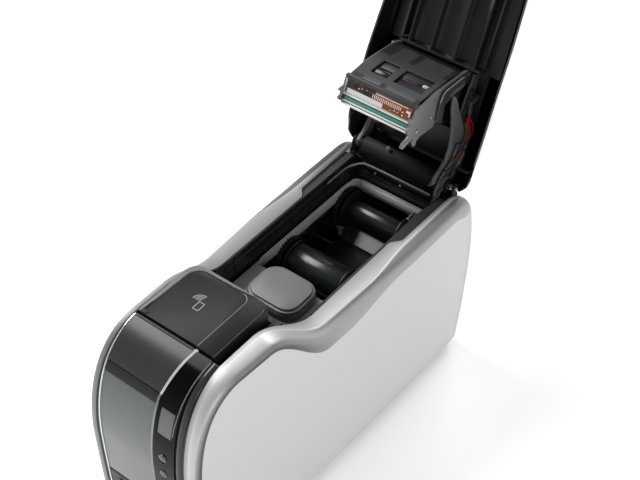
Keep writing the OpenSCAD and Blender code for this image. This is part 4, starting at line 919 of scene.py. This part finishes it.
# bundle of three twisted cables that bends across the hinge
spine = crom([(50.7, 187, 188), (50.7, 190.5, 200), (50.7, 194, 212), (50.7, 197.4, 223), (50.7, 202.4, 232.4), (50.7, 210, 238.8),
              (50.7, 219, 242.6), (50.7, 227, 250), (50.7, 232.6, 262)], 8)
for k, key in enumerate(("wire_grey", "wire_black", "wire_brown", "wire_grey", "wire_black")):
    pts = []
    for i, q in enumerate(spine):
        a = i * 0.30 + k * 1.2566
        pts.append((q.x + 0.9 * math.cos(a), q.y + 4.9 * math.sin(a), q.z - 2.9 * math.sin(a)))
    b = tube("hinge_cable_%d" % k, pts, 1.3, key, None, n=8, smooth=1)
    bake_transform(b)
leads = [("red", [(51.8, 239.4, 290), (52.4, 244.4, 282), (52.6, 248, 271), (52, 246, 259), (50.8, 240.6, 250)], 0.8),
         ("red", [(53.2, 240.6, 292.5), (53.8, 247, 282), (54.0, 250.6, 271), (53.4, 248, 260), (52, 243, 251)], 0.8),
         ("red", [(52.0, 239.6, 287), (52.6, 244.4, 276), (52.0, 245, 266), (51.0, 241.4, 256)], 0.7),
         ("wire_grey", [(51.0, 238.6, 285), (51.0, 242, 272), (50.6, 241, 260), (50, 236.6, 249)], 0.6),
         ("yellow", [(50.6, 241.4, 254.5), (52.0, 243.0, 250), (50.8, 239.6, 246), (52.0, 237.6, 241.5), (50.8, 233.4, 238.6),
                     (51.8, 230.4, 234.6)], 0.75),
         ("orange", [(52.2, 243.6, 253), (50.8, 240.4, 249.4), (52.2, 239.2, 244.6), (50.8, 235.0, 241.6), (52.0, 232.6, 236.6),
                     (50.6, 228.0, 234.6)], 0.75),
         ("wire_brown", [(53.2, 243, 250), (52.8, 238.4, 243), (52.6, 233, 236.4), (51.2, 226, 233)], 0.7)]
for i, (key, pts, r) in enumerate(leads):
    tube("cover_lead_%d" % i, pts, r, key, "cover", n=8, smooth=6)
# light bracket under the cover at the left
box("cover_clip", -20, -16.4, 205.4, 209.4, 236.2, 238.6, "plate", "housing", 0.3)

# ------------------------------------------------------------------ rear sockets
for i, (x, z) in enumerate(((-38, 40.6), (-44, 34.0), (-32, 34.0))):
    cyl("inlet_pin_%d" % i, "Y", (x, 0, z), 200.6, 212.5, 1.4, "steel", "housing", n=24)
box("usb_tongue", 17.4, 22.6, 200.6, 212.0, 33.2, 36.8, "white", "housing", 0.3)
for i in range(8):
    box("network_contact_%d" % i, 32.6 + i * 1.5, 33.2 + i * 1.5, 201, 211.5, 39.6, 40.3, "gold", "housing", 0.1)
box("aux_tongue", 51.0, 54.0, 200.6, 211.0, 33.0, 37.0, "black_satin", "housing", 0.3)

# ------------------------------------------------------------------ cover shell, drawn closed
def crow(y):
    return [y, y, 261.6 - 1.2 * sstep((-10 - y) / 36), rim_z(y) + 1.5 - 3.5 * sstep((y - 40) / 80), cover_x(y) + 0.6]


CRR = [crow(y) for y in (-45, -41, -36, -30, -24, -18, -12, -6, 4, 20, 50, 80, 110, 140, 165, 185)]
CRR += [[198, 199, 261.4, 221.5, 76.6], [205, 206.5, 260.6, 221.7, 74.8], [209.5, 211.5, 258, 223.6, 71.8],
        [212.8, 215, 252.5, 226.2, 68.8], [214.8, 216.8, 244.5, 228, 66.8], [216, 217.2, 237.5, 229, 65.4]]
CXX = [(1, 0), (0.965, 0.17), (0.925, 0.36), (0.885, 0.56), (0.845, 0.76), (0.80, 0.92), (0.74, 0.985), (0.60, 1.0), (0.42, 1.006),
       (0.26, 1.01), (0.13, 1.012)]


def cover_pt(q, u, v, d, sg):
    x = sg * max(0, q[4] * u - d * (1.1 - v) * 0.95)
    w = max(0, v)
    zz = q[3] + (q[2] - q[3]) * v - d * sstep((v - 0.3) / 0.7)
    yy = lerp(q[0], q[1], v) - (d * v if q[0] > 190 else 0)
    nt = 0 if yy > -20 else 9 * (1 - sstep((abs(x) - 6) / 12)) * sstep((-20 - yy) / 24)
    return (x, yy + nt, max(q[3], zz))


def cover_grid(d):
    rows = []
    for q in CRR:
        r = [cover_pt(q, u, v, d, 1) for u, v in CXX] + [cover_pt(q, 0, 1.014, d, 1)]
        r += [cover_pt(q, u, v, d, -1) for u, v in reversed(CXX)]
        rows.append(crom(r, 3))
    cols = [crom([rows[i][j] for i in range(len(rows))], 3) for j in range(len(rows[0]))]
    return [[tuple(cols[j][i]) for j in range(len(cols))] for i in range(len(cols[0]))]


CO, CI = cover_grid(0), cover_grid(2.2)
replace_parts(skin_ob("cover_shell_skin", CO, CI, ["cover_gloss"], "cover", [0] * (len(CO[0]) - 1), cc=True, angle=50, clamp=True),
            "cover_shell")
# thin light line along the cover's side edges
for side in (1, -1):
    j = 0 if side > 0 else len(CO[0]) - 1
    edge = [(CO[i][j][0] - side * 1.1, CO[i][j][1], CO[i][j][2] + 0.15) for i in range(2, len(CO) - 2, 3)]
    tube("cover_edge_line_%s" % ("r" if side > 0 else "l"), edge, 0.35, "edge_line", "cover", n=8, smooth=2, cc=True)

# ------------------------------------------------------------------ floor and light
fl = bpy.data.meshes.new("floor")
fl.from_pydata([(-4, -4, 0), (4, -4, 0), (4, 4, 0), (-4, 4, 0)], [], [(0, 1, 2, 3)])
floor = bpy.data.objects.new("floor", fl)
floor.data.materials.append(M["floor"])
scene.collection.objects.link(floor)

world = bpy.data.worlds.new("studio")
scene.world = world
world.use_nodes = True
wn = world.node_tree
bg = wn.nodes["Background"]
tcw = wn.nodes.new("ShaderNodeTexCoord")
sep = wn.nodes.new("ShaderNodeSeparateXYZ")
wn.links.new(tcw.outputs["Generated"], sep.inputs["Vector"])
ramp = wn.nodes.new("ShaderNodeValToRGB")
ramp.color_ramp.elements[0].position = 0.48
ramp.color_ramp.elements[0].color = (0.62, 0.62, 0.62, 1)
ramp.color_ramp.elements[1].position = 0.86
ramp.color_ramp.elements[1].color = (0.16, 0.16, 0.165, 1)
e = ramp.color_ramp.elements.new(0.62)
e.color = (0.34, 0.34, 0.345, 1)
mr = wn.nodes.new("ShaderNodeMapRange")
mr.inputs["From Min"].default_value = -1.0
mr.inputs["From Max"].default_value = 1.0
wn.links.new(sep.outputs["Z"], mr.inputs["Value"])
wn.links.new(mr.outputs["Result"], ramp.inputs["Fac"])
lp = wn.nodes.new("ShaderNodeLightPath")
wm = wn.nodes.new("ShaderNodeMix")
wm.data_type = "RGBA"
wn.links.new(lp.outputs["Is Camera Ray"], wm.inputs["Factor"])
wn.links.new(ramp.outputs["Color"], wm.inputs["A"])
wm.inputs["B"].default_value = (1, 1, 1, 1)
wn.links.new(wm.outputs["Result"], bg.inputs["Color"])
bg.inputs["Strength"].default_value = 1.0


fb = M["floor"].node_tree.nodes["Principled BSDF"]
fb.inputs["Emission Color"].default_value = (1, 1, 1, 1)
fb.inputs["Emission Strength"].default_value = 0.36


def area(name, loc, target, size, power, size_y=None):
    d = bpy.data.lights.new(name, "AREA")
    d.energy = power
    d.size = size
    if size_y:
        d.shape = "RECTANGLE"
        d.size_y = size_y
    o = bpy.data.objects.new(name, d)
    o.location = loc
    o.rotation_euler = (Vector(target) - Vector(loc)).to_track_quat("-Z", "Y").to_euler()
    scene.collection.objects.link(o)
    return o


area("key", (-1.15, 0.10, 1.55), (0, 0.03, 0.15), 1.0, 28)
area("fill", (1.8, -0.9, 0.8), (0, 0.0, 0.15), 1.4, 20)
area("back", (-0.2, 1.6, 1.3), (0, 0.1, 0.25), 1.0, 16)

scene.view_settings.view_transform = "Standard"
